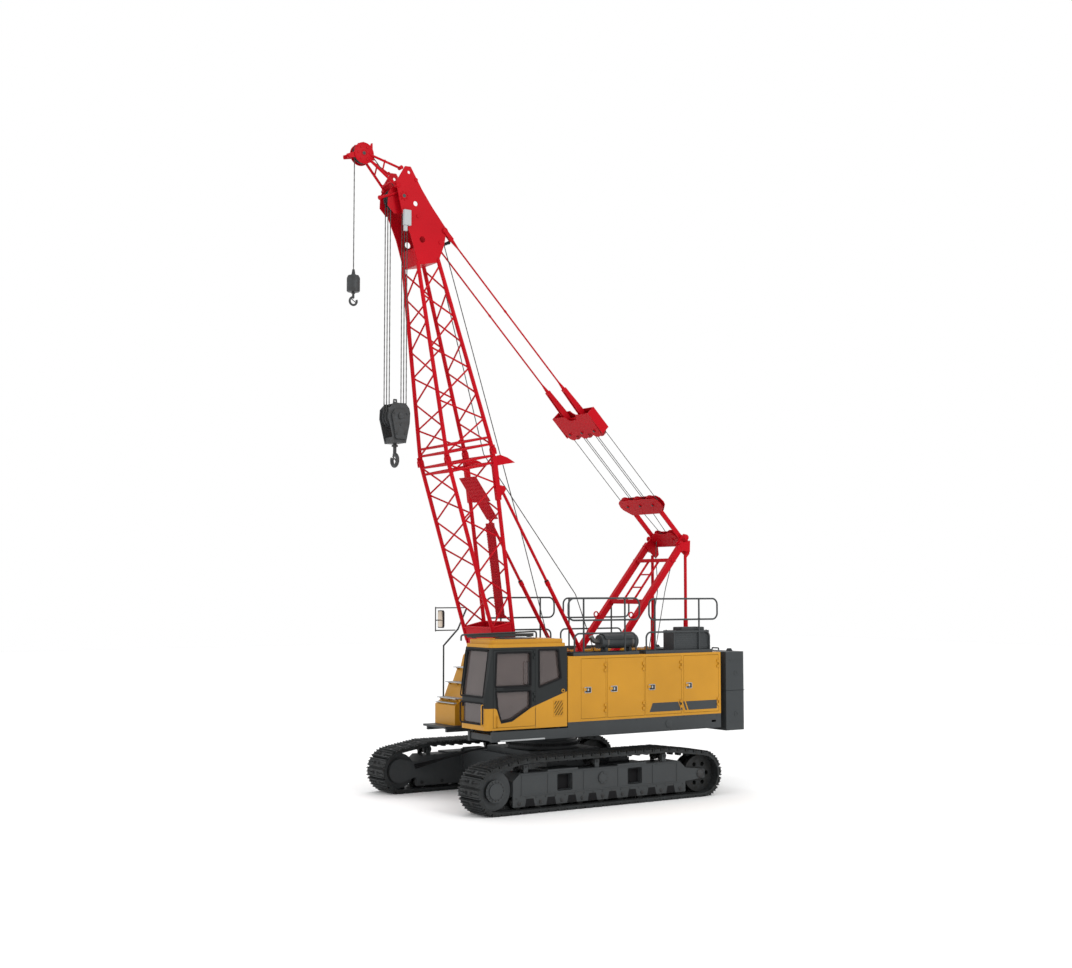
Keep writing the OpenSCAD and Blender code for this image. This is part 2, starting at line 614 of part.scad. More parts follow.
// Cab door, hinged at its rear edge
cab_hinge_z = [1950, 2700];
door_z = cab_bottom + 40 + door_gap;
module door_leaf() difference() {
    translate([door_rear + door_gap, house_y - cab_t, door_z])
        cube([door_front - door_rear - 2 * door_gap, cab_t, cab_eave - cab_bottom - 80 - 2 * door_gap]);
    for (pane = door_panes) side_plate(pane, house_y - cab_t - 1, cab_t + 2);
}
door_panes = [[[1985, 2770], [1265, 2770], [1265, 2175], [2010, 2175]],
    [[2000, 2090], [1270, 2090], [1270, 1800], [1660, 1590], [1890, 1560], [1965, 1780]]];
module cab_door() color(slate) {
    door_leaf();
    for (z = cab_hinge_z) hinge_leaf(door_rear, hinge_y, z, house_y);
    translate([door_front - 190, house_y - 1, 2115]) cube([130, 26, 34]);
}
module cab_door_glass() color(glass) for (pane = door_panes) {
    c = [1630, (pane[0][1] + pane[2][1]) / 2];
    side_plate([for (p = pane) [c[0] + (p[0] - c[0]) * 1.04, c[1] + (p[1] - c[1]) * 1.06]],
        house_y - cab_t - glass_t - seat, glass_t);
}

// Rails on the roofs: a tall looped rail and a low hoop beside each walkway kerb
rail_d = 34;
rail_low = house_top + 20 + 2 * seat;     // the rails stand in the kerbs' trays
module hoop(x0, x1, y, z0, z1, r) {
    bar([x0, y, z0], [x0, y, z1 - r], rail_d);
    bar([x1, y, z0], [x1, y, z1 - r], rail_d);
    bar([x0 - r, y, z1], [x1 + r, y, z1], rail_d);
    for (e = [[x0 - r, 0], [x1 + r, 90]]) translate([e[0], y, z1 - r]) rotate([90, -e[1], 0])
        rotate_extrude(angle = 90, $fn = 32) translate([r, 0]) circle(d = rail_d, $fn = 16);
}
module rail_frame(x0, x1, y, z0, z1, r) {
    for (z = [z0, z1]) bar([x0 - r, y, z], [x1 + r, y, z], rail_d);
    for (x = [x0, x1]) bar([x, y, z0 + r], [x, y, z1 - r], rail_d);
    for (e = [[x0 - r, z1 - r, 0], [x1 + r, z1 - r, 90], [x1 + r, z0 + r, 180], [x0 - r, z0 + r, 270]])
        translate([e[0], y, e[1]]) rotate([90, -e[2], 0])
            rotate_extrude(angle = 90, $fn = 32) translate([r, 0]) circle(d = rail_d, $fn = 16);
}
module side_rails() {
    rail_y = house_y - 60;
    for (x = [[260, -1165], [-1413, -2975]]) {
        hoop(x[0], x[1], rail_y, rail_low, 3085, 110);
        for (e = [x[0] - 210, x[1] + 260]) bar([e, rail_y, rail_low], [e, rail_y, 3720], rail_d);
    }
    rail_frame(396, -1249, rail_y, 3330, 3735, 130);
    rail_frame(-1480, -3180, rail_y, 3320, 3720, 120);
}
rail_end = [866, -house_y + 60, 3500];
tread_z = [1800, 2090, 2370];
module handrails() color(slate) {
    both_sides() side_rails();
    // Handrail beside the front steps
    y = -house_y + 60;
    bar([1375, y, tread_z[0] + seat], [1375, y, 2800], rail_d);
    bar([1375, y, 2800], [1050, y, 3120], rail_d);
    bar([1050, y, 3120], rail_end, rail_d);
    for (p = [[1375, y, 2800], [1050, y, 3120], rail_end]) translate(p) sphere(d = rail_d + 4, $fn = 24);
}

kerb = 60;
module roof_gear() color(slate) {
    both_sides() for (x = [[-1215, 310], [-3020, -1370]])
        translate([x[0], house_y - 470, house_top + seat]) difference() {
        cube([x[1] - x[0], 450, kerb]);
        translate([12, 12, 20]) cube([x[1] - x[0] - 24, 426, kerb]);
    }
    // Muffler and intake box on the left roof
    translate([-1330, 1180, 2916]) rotate([0, 90, 0]) cylinder(h = 850, r = 130);
    for (x = [-1200, -640]) translate([x, 1100, house_top + 20 + seat]) cube([60, 160, 160]);
    translate([-2990, 1080, house_top + 20 + seat]) cube([880, 330, 410]);
    translate([-2890, 1110, house_top + 429]) cube([560, 270, 60]);
}

step_low = skirt_bottom + 100 + seat;
module step_box() color(yellow) difference() {
    side_plate([[house_front + seat, step_low], [1530, step_low], [1530, 1680], [1420, 1760], [1420, tread_z[0]],
        [1330, tread_z[0]], [1230, 2060], [1230, tread_z[1]], [1140, tread_z[1]], [1040, 2340],
        [1040, tread_z[2]], [960, tread_z[2]],
        [900, 2600], [860, 2640], [house_front + seat, 2640]], -house_y + 10, 760);
    side_plate([[house_front - 1, step_low - 1], [1490, step_low - 1], [1490, 1660], [1300, 1760], [920, 2340],
        [840, 2600], [house_front - 1, 2600]], -house_y + 42, 696);
}
module side_mirror() color(black) {
    y = rail_end[1];
    stub = [rail_end[0], y, 3540];
    bar([stub[0], y, rail_end[2] + rail_d / 2 + 2 + seat], stub, 22);
    translate(stub) sphere(d = 26, $fn = 24);
    bar(stub, [1560, y, 3540], 22);
    bar([1560, y, 3560], [1560, y, 3080], 22);
    bar([1115, y, 3100], [1560, y, 3100], 22);
    translate([1440, y - 80, 3150]) cube([22, 200, 340]);
    bar([1451, y, 3300], [1560, y, 3300], 20);
}

// Winches: three drums in line between the houses
drum_x = [-600, -1750, -2700];
drum_r = [250, 250, 200];
drum_z = [1790, 1790, 1740];
drum_half = 330;
shaft_r = 45;
winch_floor = deck_low + 60;
module winch_frames() color(slate) for (i = [0 : 2], s = [0, 1]) mirror([0, s, 0]) difference() {
    side_plate([[drum_x[i] - 260, winch_floor + seat], [drum_x[i] + 260, winch_floor + seat],
        [drum_x[i] + 100, drum_z[i] + 90], [drum_x[i] - 100, drum_z[i] + 90]], 445, 30);
    disc(drum_x[i], drum_z[i], shaft_r + seat, 440, 40, 32);
}
module drum(i, shaft_end = 475) {
    disc(drum_x[i], drum_z[i], drum_r[i], -drum_half, 2 * drum_half);
    disc(drum_x[i], drum_z[i], shaft_r, -shaft_end, 2 * shaft_end, 32);
    both_sides() difference() {
        disc(drum_x[i], drum_z[i], drum_r[i] + 110, drum_half, 40);
        for (a = [0 : 60 : 300]) disc(drum_x[i] + (drum_r[i] + 30) * cos(a),
            drum_z[i] + (drum_r[i] + 30) * sin(a), 40, drum_half - 1, 42, 24);
    }
}
module hoist_drum_front() color(steel) drum(0, drum_half + 30);
// Ends of the front drum's shaft, beside the flanges, where the backstops pass over them
module front_drum_shaft() color(steel) both_sides()
    disc(drum_x[0], drum_z[0], shaft_r, drum_half + 40 + seat, 435 - drum_half - seat, 32);
module hoist_drum_rear() color(steel) drum(1);
module luffing_drum() color(steel) drum(2);

// Gantry: two legs, head plates, cross members and the rear ties
leg_top = [gantry_x + 60, gantry_z - 110];
function leg_at(t) = [leg_x + (leg_top[0] - leg_x) * t, leg_y + (gantry_y + 60 - leg_y) * t,
    leg_z + (leg_top[1] - leg_z) * t];
tie_x = gantry_x - 30;
ladder_y = 165;    // from the middle to each rail of the ladder
head_pitch = 430;  // distance between the gantry's two head sheaves
module gantry() color(red) {
    difference() {
        union() {
            both_sides() {
                beam(leg_at(0), leg_at(1), leg_w, leg_t);
                disc(leg_x, leg_z, 60, leg_y - leg_w / 2, leg_w);
                side_plate([[gantry_x - 110, gantry_z + 60], [gantry_x - 20, gantry_z + 75],
                    [gantry_x + 190, gantry_z - 130], [gantry_x + 120, gantry_z - 230],
                    [gantry_x - 90, gantry_z - 400], [gantry_x - 160, gantry_z - 330]],
                    gantry_y - 15, 30);
                side_plate([[gantry_x - 100, gantry_z - 60], [gantry_x + 180, gantry_z - 140],
                    [gantry_x + 100, gantry_z - 260],
                    [gantry_x - 90, gantry_z - 300]], gantry_y + 14, 100);
                bar([tie_x, gantry_y + 37, gantry_z - 340], [tie_x, gantry_y + 37, deck_low + 60 + seat], 62);
                bar([tie_x, gantry_y + 37, 3300], [tie_x, gantry_y + 37, 2600], 92);
            }
            // Channel and box beam between the legs, with a ladder from one to the other
            beam(leg_at(0.89) - [0, 2 * leg_at(0.89)[1] + 70, 0], leg_at(0.89) + [0, 70, 0], 110, 70);
            beam(leg_at(0.63) - [0, 2 * leg_at(0.63)[1], 0], leg_at(0.63), 90, 90);
            both_sides() bar([leg_at(0.63)[0], ladder_y, leg_at(0.63)[2]],
                [leg_at(0.89)[0], ladder_y, leg_at(0.89)[2]], 46);
            for (t = [0.72, 0.80])
                bar([leg_at(t)[0], -ladder_y, leg_at(t)[2]], [leg_at(t)[0], ladder_y, leg_at(t)[2]], 30);
            // Head sheaves between two lobed plates
            at_stay() {
                for (x = [-lower_t / 2, lower_t / 2 - 12]) cross_plate(x, 12) {
                    for (y = [-head_pitch / 2, head_pitch / 2]) translate([stay_len, y]) circle(r = 185, $fn = 48);
                    translate([stay_len - 150, -head_pitch / 2]) square([300, head_pitch]);
                    translate([stay_len + 110, -gantry_y]) square([80, 2 * gantry_y]);
                }
                translate([-lower_t / 2 + 1, -gantry_y, stay_len + 165]) cube([lower_t - 2, 2 * gantry_y, 24]);
                for (y = [-head_pitch / 2, head_pitch / 2]) flat_sheave(y, stay_len, 132, lower_t / 2 + 12);
            }
        }
        both_sides() disc(gantry_x, gantry_z, 40 + seat, gantry_y - 100, 300, 32);
    }
    both_sides() disc(leg_x, leg_z, 32, leg_y - leg_w / 2 - run - lug_t, leg_w + 2 * (run + lug_t), 24);
}

// Boom: four chords with a zigzag of lacing tubes on each face, in the boom's own frame,
// where z runs from the foot pin along the boom and x points to its front.
function half_w(z) = z < base_len ? boom_w / 2 : boom_w / 2 + (head_w - boom_w) / 2 * (z - base_len) / top_len;
function half_d(z) = z < base_len ? foot_d / 2 + (boom_d - foot_d) / 2 * z / base_len :
    boom_d / 2 + (head_d - boom_d) / 2 * (z - base_len) / top_len;
// Corner c of the boom at station z, counted front left, rear left, rear right, front right
function corner(c, z) = [(c == 0 || c == 3 ? 1 : -1) * half_d(z), (c < 2 ? 1 : -1) * half_w(z), z];

module lattice(low, high, panels, frames) {
    step = (high - low) / panels;
    for (c = [0 : 3]) {
        d = (c + 1) % 4;
        for (k = [0 : panels - 1]) {
            a = k % 2 == 0 ? c : d;
            b = k % 2 == 0 ? d : c;
            bar(corner(a, low + k * step), corner(b, low + (k + 1) * step), lace_d, 12);
        }
        for (z = frames) bar(corner(c, z), corner(d, z), lace_d * 1.3, 12);
    }
}
joint_gap = 110;   // from the section joint to each section's end frame
wrap_z = 1760;     // where the base section's lattice meets its foot plates
foot_r = 84;

// Base section: foot, lattice and the rear posts that hold the backstops
post_low = base_len - 950;
stop_up = base_len - 770;
stop_pin = [-half_d(stop_up) - 125, stop_up];
guide_z = base_len - 150;
module boom_base() color(red) at_boom() {
    difference() {
        union() {
            for (c = [0 : 3]) bar(corner(c, wrap_z - 250), corner(c, base_len - joint_end), chord_d, 24);
            lattice(wrap_z, base_len - joint_gap, 6, [wrap_z, base_len - joint_gap - 130, base_len - joint_gap]);
            // Foot plates
            both_sides() {
                side_plate([[-70, 0], [70, 0], [half_d(900) + 20, 900], [half_d(wrap_z) + 28, wrap_z],
                    [-half_d(wrap_z) - 28, wrap_z], [-half_d(900) - 20, 900]], boom_w / 2 - 16, 32);
                disc(0, 0, foot_r, boom_w / 2 - foot_lug / 2, foot_lug);
            }
            for (z = [300, 1000]) translate([-half_d(z), -boom_w / 2, z]) cube([2 * half_d(z), boom_w, 60]);
            for (s = [-1, 1]) beam([s * half_d(1150), 0, 1150], [s * half_d(wrap_z), 0, wrap_z], boom_w, 14);
            both_sides() {
                // Rear post sleeve with the backstop lug and the hooked guide plate
                translate([-half_d(post_low) - 38, boom_w / 2 - 42, post_low]) cube([76, 84, 10]);
                beam([-half_d(post_low + 20), boom_w / 2, post_low + 10],
                    [-half_d(base_len - 130), boom_w / 2, base_len - 130], 88, 92);
                side_plate([[-half_d(stop_up + 120), stop_up + 120], [-half_d(stop_up - 150), stop_up - 150],
                    [stop_pin[0] - 10, stop_pin[1] - 62],
                    [stop_pin[0] - 62, stop_pin[1] - 10], [stop_pin[0] - 40, stop_pin[1] + 60]],
                    boom_w / 2 - 12, 24);
                disc(stop_pin[0], stop_pin[1], 26, boom_w / 2 - 16, 28, 24);
                side_plate([[-half_d(guide_z), guide_z + 20], [-half_d(guide_z) - 150, guide_z + 30],
                    [-half_d(guide_z) - 300, guide_z - 50], [-half_d(guide_z) - 445, guide_z - 170],
                    [-half_d(guide_z) - 200, guide_z - 160], [-half_d(guide_z - 200), guide_z - 160]],
                    boom_w / 2 - 10, 20);
            }
            for (c = [0 : 3], y = [-42, 16]) joint_lug(corner(c, base_len), -1, y, 26);
        }
        for (c = [0 : 3])
            disc(corner(c, base_len)[0], base_len, joint_pin_r + seat, corner(c, base_len)[1] - 100, 200, 32);
    }
    both_sides() disc(0, 0, foot_pin_r, boom_w / 2 - foot_lug / 2 - run - lug_t, foot_lug + 2 * (run + lug_t), 32);
}
// A lug of the pinned joint at each chord: two on the base section, one between them on the head section
joint_r = 52;
joint_end = 60;    // from the joint to the end of each chord tube
joint_pin_r = 24;
module joint_lug(p, way, y, t) {
    disc(p[0], base_len, joint_r, p[1] + y, t, 32);
    translate([p[0] - joint_r, p[1] + y, way < 0 ? base_len - joint_end - 30 : base_len])
        cube([2 * joint_r, t, joint_end + 30]);
}

// Head section: lattice, head plates, and the joint pins
head_end = base_len + top_len;
head_low = head_end - 30;
main_at = [258, head_end + 1246];      // main sheave shaft, in the boom's frame
pin_at = [-470, head_end + 540];       // pendant pin, in the boom's frame
head_outline = [[220, head_low], [264, head_end + 525], [360, head_end + 1028], [362, head_end + 1523],
    [115, head_end + 1790], [0, head_end + 1770], [-144, head_end + 1346], [-292, head_end + 1004],
    [pin_at[0] - 20, pin_at[1] + 78], [pin_at[0] - 78, pin_at[1] - 10], [pin_at[0] - 10, pin_at[1] - 80],
    [-398, head_end + 266], [-208, head_low]];
head_in = head_w / 2 - plate_t / 2;    // inner face of a head plate
shaft_d = 70;
module boom_top() color(red) at_boom() {
    difference() {
        union() {
            for (c = [0 : 3]) bar(corner(c, base_len + joint_end), corner(c, head_low + 60), chord_d, 24, 180);
            lattice(base_len + joint_gap, head_low - 60, 7, [base_len + joint_gap, base_len + joint_gap + 130]);
            both_sides() side_plate(head_outline, head_in, plate_t);
            // Plates and tubes that join the two head plates
            for (s = [-1, 1]) translate([s * 205 - 10, -head_in - 5, head_low]) cube([20, 2 * head_in + 10, 320]);
            translate([-205, -head_in - 5, head_low]) cube([410, 2 * head_in + 10, 16]);
            for (p = [[-330, 330], [-60, 1520], [40, 850]])
                bar([p[0], -head_in - 5, head_end + p[1]], [p[0], head_in + 5, head_end + p[1]], 60);
            for (c = [0 : 3]) {
                joint_lug(corner(c, base_len), 1, -14, 28);
                disc(corner(c, base_len)[0], base_len, joint_pin_r, corner(c, base_len)[1] - 46, 92, 32);
            }
        }
        for (y = [-head_w, 0]) {
            disc(main_at[0], main_at[1], shaft_d / 2 + seat, y, head_w, 32);
            disc(41, head_end + 1088, 48, y, head_w, 24);
            disc(40, head_end + 420, 60, y, head_w, 24);
            disc(60, head_end + 1670, 30, y, head_w, 24);
        }
    }
}

module boom_walkway() color(red) at_boom() {
    // Strip on the rear lacing, and the platform above it that leans through the rear face
    step_n = 36;
    over = lace_d / 2 + seat + 4;
    walk_low = wrap_z + 90;
    walk_high = base_len - 1360;
    beam([-half_d(walk_low) + over, 150, walk_low], [-half_d(walk_high) + over, 150, walk_high], 300, 8);
    for (k = [0 : step_n - 1]) {
        z = walk_low + 20 + k * (walk_high - walk_low - 40) / step_n;
        translate([-half_d(z) + over + 3, 5, z]) cube([14, 290, 12]);
    }
    beam([-530, 0, base_len - 1310], [-372, 0, base_len - 945], 390, 10);
    beam([-372, 0, base_len - 945], [-150, 0, base_len - 432], 600, 10);
}

jib_at = [801, head_end + 2117];
jib_plate_y = 70;
module tip_jib() color(red) at_boom() {
    root_low = [335, head_end + 1449];
    root_high = [200, head_end + 1770];
    tip = jib_at;
    difference() {
        union() {
            both_sides() {
                bar([root_low[0], head_in - 40, root_low[1]], [tip[0] - 60, jib_plate_y + 10, tip[1] - 90], 50);
                bar([root_high[0], head_in - 40, root_high[1]], [tip[0] - 90, jib_plate_y + 10, tip[1] - 20], 44);
                bar([(root_low[0] + tip[0]) / 2 - 30, (head_in + 30) / 2, (root_low[1] + tip[1]) / 2 - 50],
                    [(root_high[0] + tip[0]) / 2 - 70, (head_in + 30) / 2, (root_high[1] + tip[1]) / 2 + 10], 30);
                side_plate([[tip[0] - 190, tip[1] - 150], [tip[0] + 80, tip[1] - 60], [tip[0] + 350, tip[1] - 60],
                    [tip[0] + 350, tip[1] + 10], [tip[0] + 90, tip[1] + 60], [tip[0] + 80, tip[1] + 190],
                    [tip[0] + 50, tip[1] + 190], [tip[0] + 20, tip[1] + 80], [tip[0] - 130, tip[1] + 80],
                    [tip[0] - 190, tip[1] + 170], [tip[0] - 220, tip[1] + 170], [tip[0] - 190, tip[1] + 20]],
                    jib_plate_y - 9, 18);
                disc(root_low[0], root_low[1], 40, head_in - 70, 70 - seat, 32);
                disc(root_high[0], root_high[1], 34, head_in - 70, 70 - seat, 32);
            }
            bar([tip[0] - 184, -jib_plate_y, tip[1] + 120], [tip[0] - 184, jib_plate_y, tip[1] + 120], 34);
            // Nose pins, one on each plate, so that the rope passes between them when the boom is low
            both_sides() bar([tip[0] + 318, jib_plate_y - 20, tip[1] - 25],
                [tip[0] + 318, jib_plate_y + 40, tip[1] - 25], 44);
            bar([root_low[0] + 60, -head_in + 60, root_low[1] + 90],
                [root_low[0] + 60, head_in - 60, root_low[1] + 90], 40);
        }
        disc(tip[0], tip[1], 32 + seat, -jib_plate_y - 20, 2 * jib_plate_y + 40, 32);
    }
}

// A rope sheave round the Z axis: hub, grooved rim and lightening holes
rim_h = 30;
module sheave_disc(r, d, w) difference() {
    rotate_extrude($fn = 64) polygon([[0, -w / 2 + 6], [r - 55, -w / 2 + 6], [r - 45, -w / 2], [r + rim_h, -w / 2],
        [r + rim_h, -w / 2 + 6], [r - d / 2 - seat, -d * 0.42], [r - d / 2 - seat, d * 0.42],
        [r + rim_h, w / 2 - 6], [r + rim_h, w / 2], [r - 45, w / 2], [r - 55, w / 2 - 6], [0, w / 2 - 6]]);
    for (a = [0 : 60 : 300]) translate([(r - 90) * cos(a), (r - 90) * sin(a), -w])
        cylinder(h = 2 * w, r = 16, $fn = 24);
}
module sheave(x, z, r, y, d, w = 52) translate([x, y, z]) rotate([90, 0, 0]) sheave_disc(r, d, w);
sheave_ys = [-sheave_pitch, 0, sheave_pitch];
main_world = on_boom(main_at[0], main_at[1]);
jib_world = on_boom(jib_at[0], jib_at[1]);
module head_sheaves() color(slate) {
    for (y = sheave_ys) sheave(main_world[0], main_world[2], sheave_r, y, rope_d);
    disc(main_world[0], main_world[2], shaft_d / 2, -head_w / 2 - 25, head_w + 50, 32);
}
module jib_sheave() color(slate) {
    sheave(jib_world[0], jib_world[2], jib_sheave_r, 0, rope_d);
    disc(jib_world[0], jib_world[2], 32, -jib_plate_y - 25, 2 * jib_plate_y + 50, 32);
}
// Rope over or under a sheave: half a turn of round bar about an axis along Y
module rope_turn(x, z, r, y, d, a0, a1) translate([x, y, z]) rotate([90, 0, 0]) rotate([0, 0, a0])
    rotate_extrude(angle = a1 - a0, $fn = 64) translate([r, 0]) circle(d = d, $fn = 16);

line_d = 10;       // rope inside the upper part of each fall
bore_d = 12;
fall_low = block_z + 420;
module main_falls() color(steel) for (y = sheave_ys) {
    rope_turn(main_world[0], main_world[2], sheave_r, y, rope_d, 0, 180);
    for (s = [-1, 1]) translate([main_world[0] + s * sheave_r, y, fall_low]) difference() {
        cylinder(h = main_world[2] - fall_low, d = rope_d, $fn = 16);
        translate([0, 0, -1]) cylinder(h = main_world[2] - fall_low - 19, d = bore_d, $fn = 16);
    }
}
module block_falls() color(steel) for (y = sheave_ys) {
    rope_turn(main_world[0], block_z, sheave_r, y, line_d, 180, 360);
    for (s = [-1, 1]) translate([main_world[0] + s * sheave_r, y, block_z])
        cylinder(h = main_world[2] - block_z - 60, d = line_d, $fn = 16);
}
block_y = 190;
module hook_block() color(slate) translate([main_world[0], 0, block_z]) {
    difference() {
        union() {
            both_sides() side_plate([[-215, 60], [-195, 150], [-120, 240], [120, 240], [215, 130], [225, -40],
                [200, -130], [110, -490], [-130, -490], [-205, -130]], block_y - 22, 22);
            both_sides() side_plate([[-170, 20], [-120, 120], [120, 120], [180, 20], [90, -420], [-110, -420]],
                block_y, 40);
            translate([-110, -block_y + 1, -490]) cube([220, 2 * block_y - 2, 110]);
            translate([-70, -block_y + 1, 225]) cube([140, 2 * block_y - 2, 16]);
            side_plate([[-45, 235], [45, 235], [30, 330], [-30, 330]], -14, 28);
        }
        disc(0, 0, shaft_d / 2 + seat, -block_y - 60, 2 * block_y + 120, 32);
        disc(0, 292, 17, -20, 40, 24);
        translate([0, 0, -500]) cylinder(h = 130, d = 64 + 2 * seat, $fn = 32);
    }
}
module block_sheaves() color(slate) {
    for (y = sheave_ys) sheave(main_world[0], block_z, sheave_r, y, line_d);
    disc(main_world[0], block_z, shaft_d / 2, -block_y - 50, 2 * block_y + 100, 32);
}
// A single hook in the plane of its own X and Z axes, hanging from the origin
module hook(r, d, shank, shank_d) {
    translate([0, 0, -shank]) cylinder(h = shank + 20, d = shank_d, $fn = 32);
    translate([0, 0, -shank - r]) rotate([90, 0, 0]) rotate([0, 0, -205]) rotate_extrude(angle = 295, $fn = 48)
        translate([r, 0]) circle(d = d, $fn = 24);
    translate([0, 0, -shank - 4]) sphere(d = d * 1.12, $fn = 24);
    translate([r * cos(-205), 0, -shank - r - r * sin(-205)]) sphere(d = d * 1.05, $fn = 24);
}
module main_hook() color(slate) translate([main_world[0], 0, block_z - 380]) rotate([0, 0, 90]) {
    translate([0, 0, seat]) cylinder(h = 40, d = 110, $fn = 32);
    hook(105, hook_d, 310, 64);
}

aux_x = jib_world[0] + jib_sheave_r;
module aux_line() color(steel) {
    rope_turn(jib_world[0], jib_world[2], jib_sheave_r, 0, rope_d, 0, 110);
    translate([aux_x, 0, aux_z + 60]) difference() {
        cylinder(h = jib_world[2] - aux_z - 60, d = rope_d, $fn = 16);
        translate([0, 0, -1]) cylinder(h = jib_world[2] - aux_z - 79, d = bore_d, $fn = 16);
    }
}
weight_z = aux_z - 100 - weight_h;
// The rope's lower part, which slides in the upper one as the hook is lowered
module aux_drop() color(steel) translate([aux_x, 0, aux_z + seat])
    cylinder(h = jib_world[2] - aux_z - 60, d = line_d, $fn = 16);
module aux_hook_weight() color(black) translate([aux_x, 0, 0]) {
    difference() {
        translate([0, 0, weight_z]) rotate_extrude($fn = 48) polygon([[0, 0], [weight_r - 14, 0], [weight_r, 14],
            [weight_r, weight_h - 60], [weight_r - 22, weight_h - 12], [50, weight_h], [34, weight_h + 20],
            [22, weight_h + 100], [0, weight_h + 100]]);
        translate([0, 0, weight_z - 1]) cylinder(h = 71, r = 22 + seat, $fn = 32);
    }
}
module aux_hook() color(slate) translate([aux_x, 0, weight_z + 50]) hook(70, 40, 150, 44);

// Pendants, from the boom head pin to the upper spreader. They lie in their own frame,
// where z runs from the boom head pin towards the gantry head pin.
pin_world = on_boom(pin_at[0], pin_at[1]);
stay = [gantry_x, 0, gantry_z] - pin_world;
stay_len = norm(stay);
stay_turn = atan2(stay[0], stay[2]);
module at_stay() translate(pin_world) rotate([0, stay_turn, 0]) children();
fork_gap = run;
fork_t = 16;
tackle_d = 14;
luff_ys = [-luff_pitch, 0, luff_pitch];
// A plate across the stay, from x to x + t, with its outline given as [z, y]
module cross_plate(x, t) translate([x + t, 0, 0]) rotate([0, -90, 0]) linear_extrude(t) children();
// A sheave that lies flat in the plane of the two stays, with its pin
module flat_sheave(y, z, r, pin) translate([0, y, z]) rotate([0, 90, 0]) {
    sheave_disc(r, tackle_d, 44);
    cylinder(h = 2 * pin, r = 30, center = true, $fn = 24);
}
upper_t = 200;     // thickness of the upper spreader
module upper_spreader() {
    z = upper_dist;
    for (x = [-upper_t / 2, upper_t / 2 - 12]) cross_plate(x, 12) {
        polygon([[z - 430, -605], [z - 430, -190], [z - 370, -160], [z - 320, -100], [z - 320, 100], [z - 370, 160],
            [z - 430, 190], [z - 430, 605], [z + 50, 560], [z + 50, -560]]);
        for (y = luff_ys) translate([z, y]) circle(r = 155, $fn = 48);
    }
    both_sides() side_plate([[-upper_t / 2, z - 430], [upper_t / 2, z - 430], [upper_t / 2, z + 90],
        [-upper_t / 2, z + 90]], 596, 14);
    bar([0, -600, z - 290], [0, 600, z - 290], 60, 24);
    for (y = luff_ys) flat_sheave(y, z, luff_r, upper_t / 2 + 12);
}
module pendants() color(red) at_stay() {
    both_sides() {
        for (y = [head_in - fork_gap - fork_t, head_in + plate_t + fork_gap]) {
            side_plate([[-40, 0], [40, 0], [40, 230], [-40, 230]], y, fork_t);
            disc(0, 0, 56, y, fork_t, 32);
        }
        translate([-40, head_in - fork_gap - fork_t, 150]) cube([80, plate_t + 2 * (fork_gap + fork_t), 80]);
        bar([0, head_w / 2, 228], [0, head_w / 2, 3800], pendant_d);
        translate([0, head_w / 2, 229]) cylinder(h = 180, r1 = 36, r2 = pendant_d / 2 + 1, $fn = 24);
        translate([0, head_w / 2, 3690]) cylinder(h = 200, r1 = pendant_d / 2 + 1, r2 = 38, $fn = 24);
        translate([-40, head_w / 2 - 40, 3860]) cube([80, 80, 60]);
        for (y = [head_w / 2 - 40, head_w / 2 + 24]) side_plate([[-38, 3870], [38, 3870], [62, upper_dist - 480],
            [55, upper_dist - 240], [-55, upper_dist - 240], [-62, upper_dist - 480]], y, 16);
    }
    upper_spreader();
}
fall_end = 40;     // a fall ends this far from the pins of the spreader it runs to
tackle = stay_len - upper_dist - lower_dist - fall_end;
module upper_falls() color(steel) at_stay() for (y = luff_ys)
    bar([0, y + luff_r, upper_dist], [0, y + luff_r, upper_dist + tackle], tackle_d, 12);
module lower_falls() color(steel) at_stay() for (y = luff_ys)
    bar([0, y - luff_r, upper_dist + fall_end], [0, y - luff_r, upper_dist + fall_end + tackle], tackle_d, 12);
lower_t = 100;     // thickness of the lower spreader
link_y = 415;      // inner face of a link of the lower spreader
link_t = 30;
module lower_spreader() color(red) at_stay() {
    z = stay_len - lower_dist;
    for (x = [-lower_t / 2, lower_t / 2 - 12]) cross_plate(x, 12) {
        polygon([[z - 160, -560], [z - 160, 560], [z - 100, 640], [z + 10, 672], [z + 90, 640], [z + 235, 470],
            [z + 235, -470], [z + 90, -640], [z + 10, -672], [z - 100, -640]]);
    }
    for (y = luff_ys) {
        flat_sheave(y, z, luff_r, lower_t / 2 + 12);
    }
    translate([-lower_t / 2 + 1, -468, z + 205]) cube([lower_t - 2, 936, 29]);
    both_sides() {
        side_plate([[-48, z + 208], [48, z + 208], [46, stay_len - 120], [46, stay_len], [-46, stay_len],
            [-46, stay_len - 120]], link_y, link_t);
        disc(0, stay_len, 62, link_y, link_t, 32);
        disc(0, stay_len, 40, link_y - 2, gantry_y + 14 - link_y + 2, 32);
    }
}

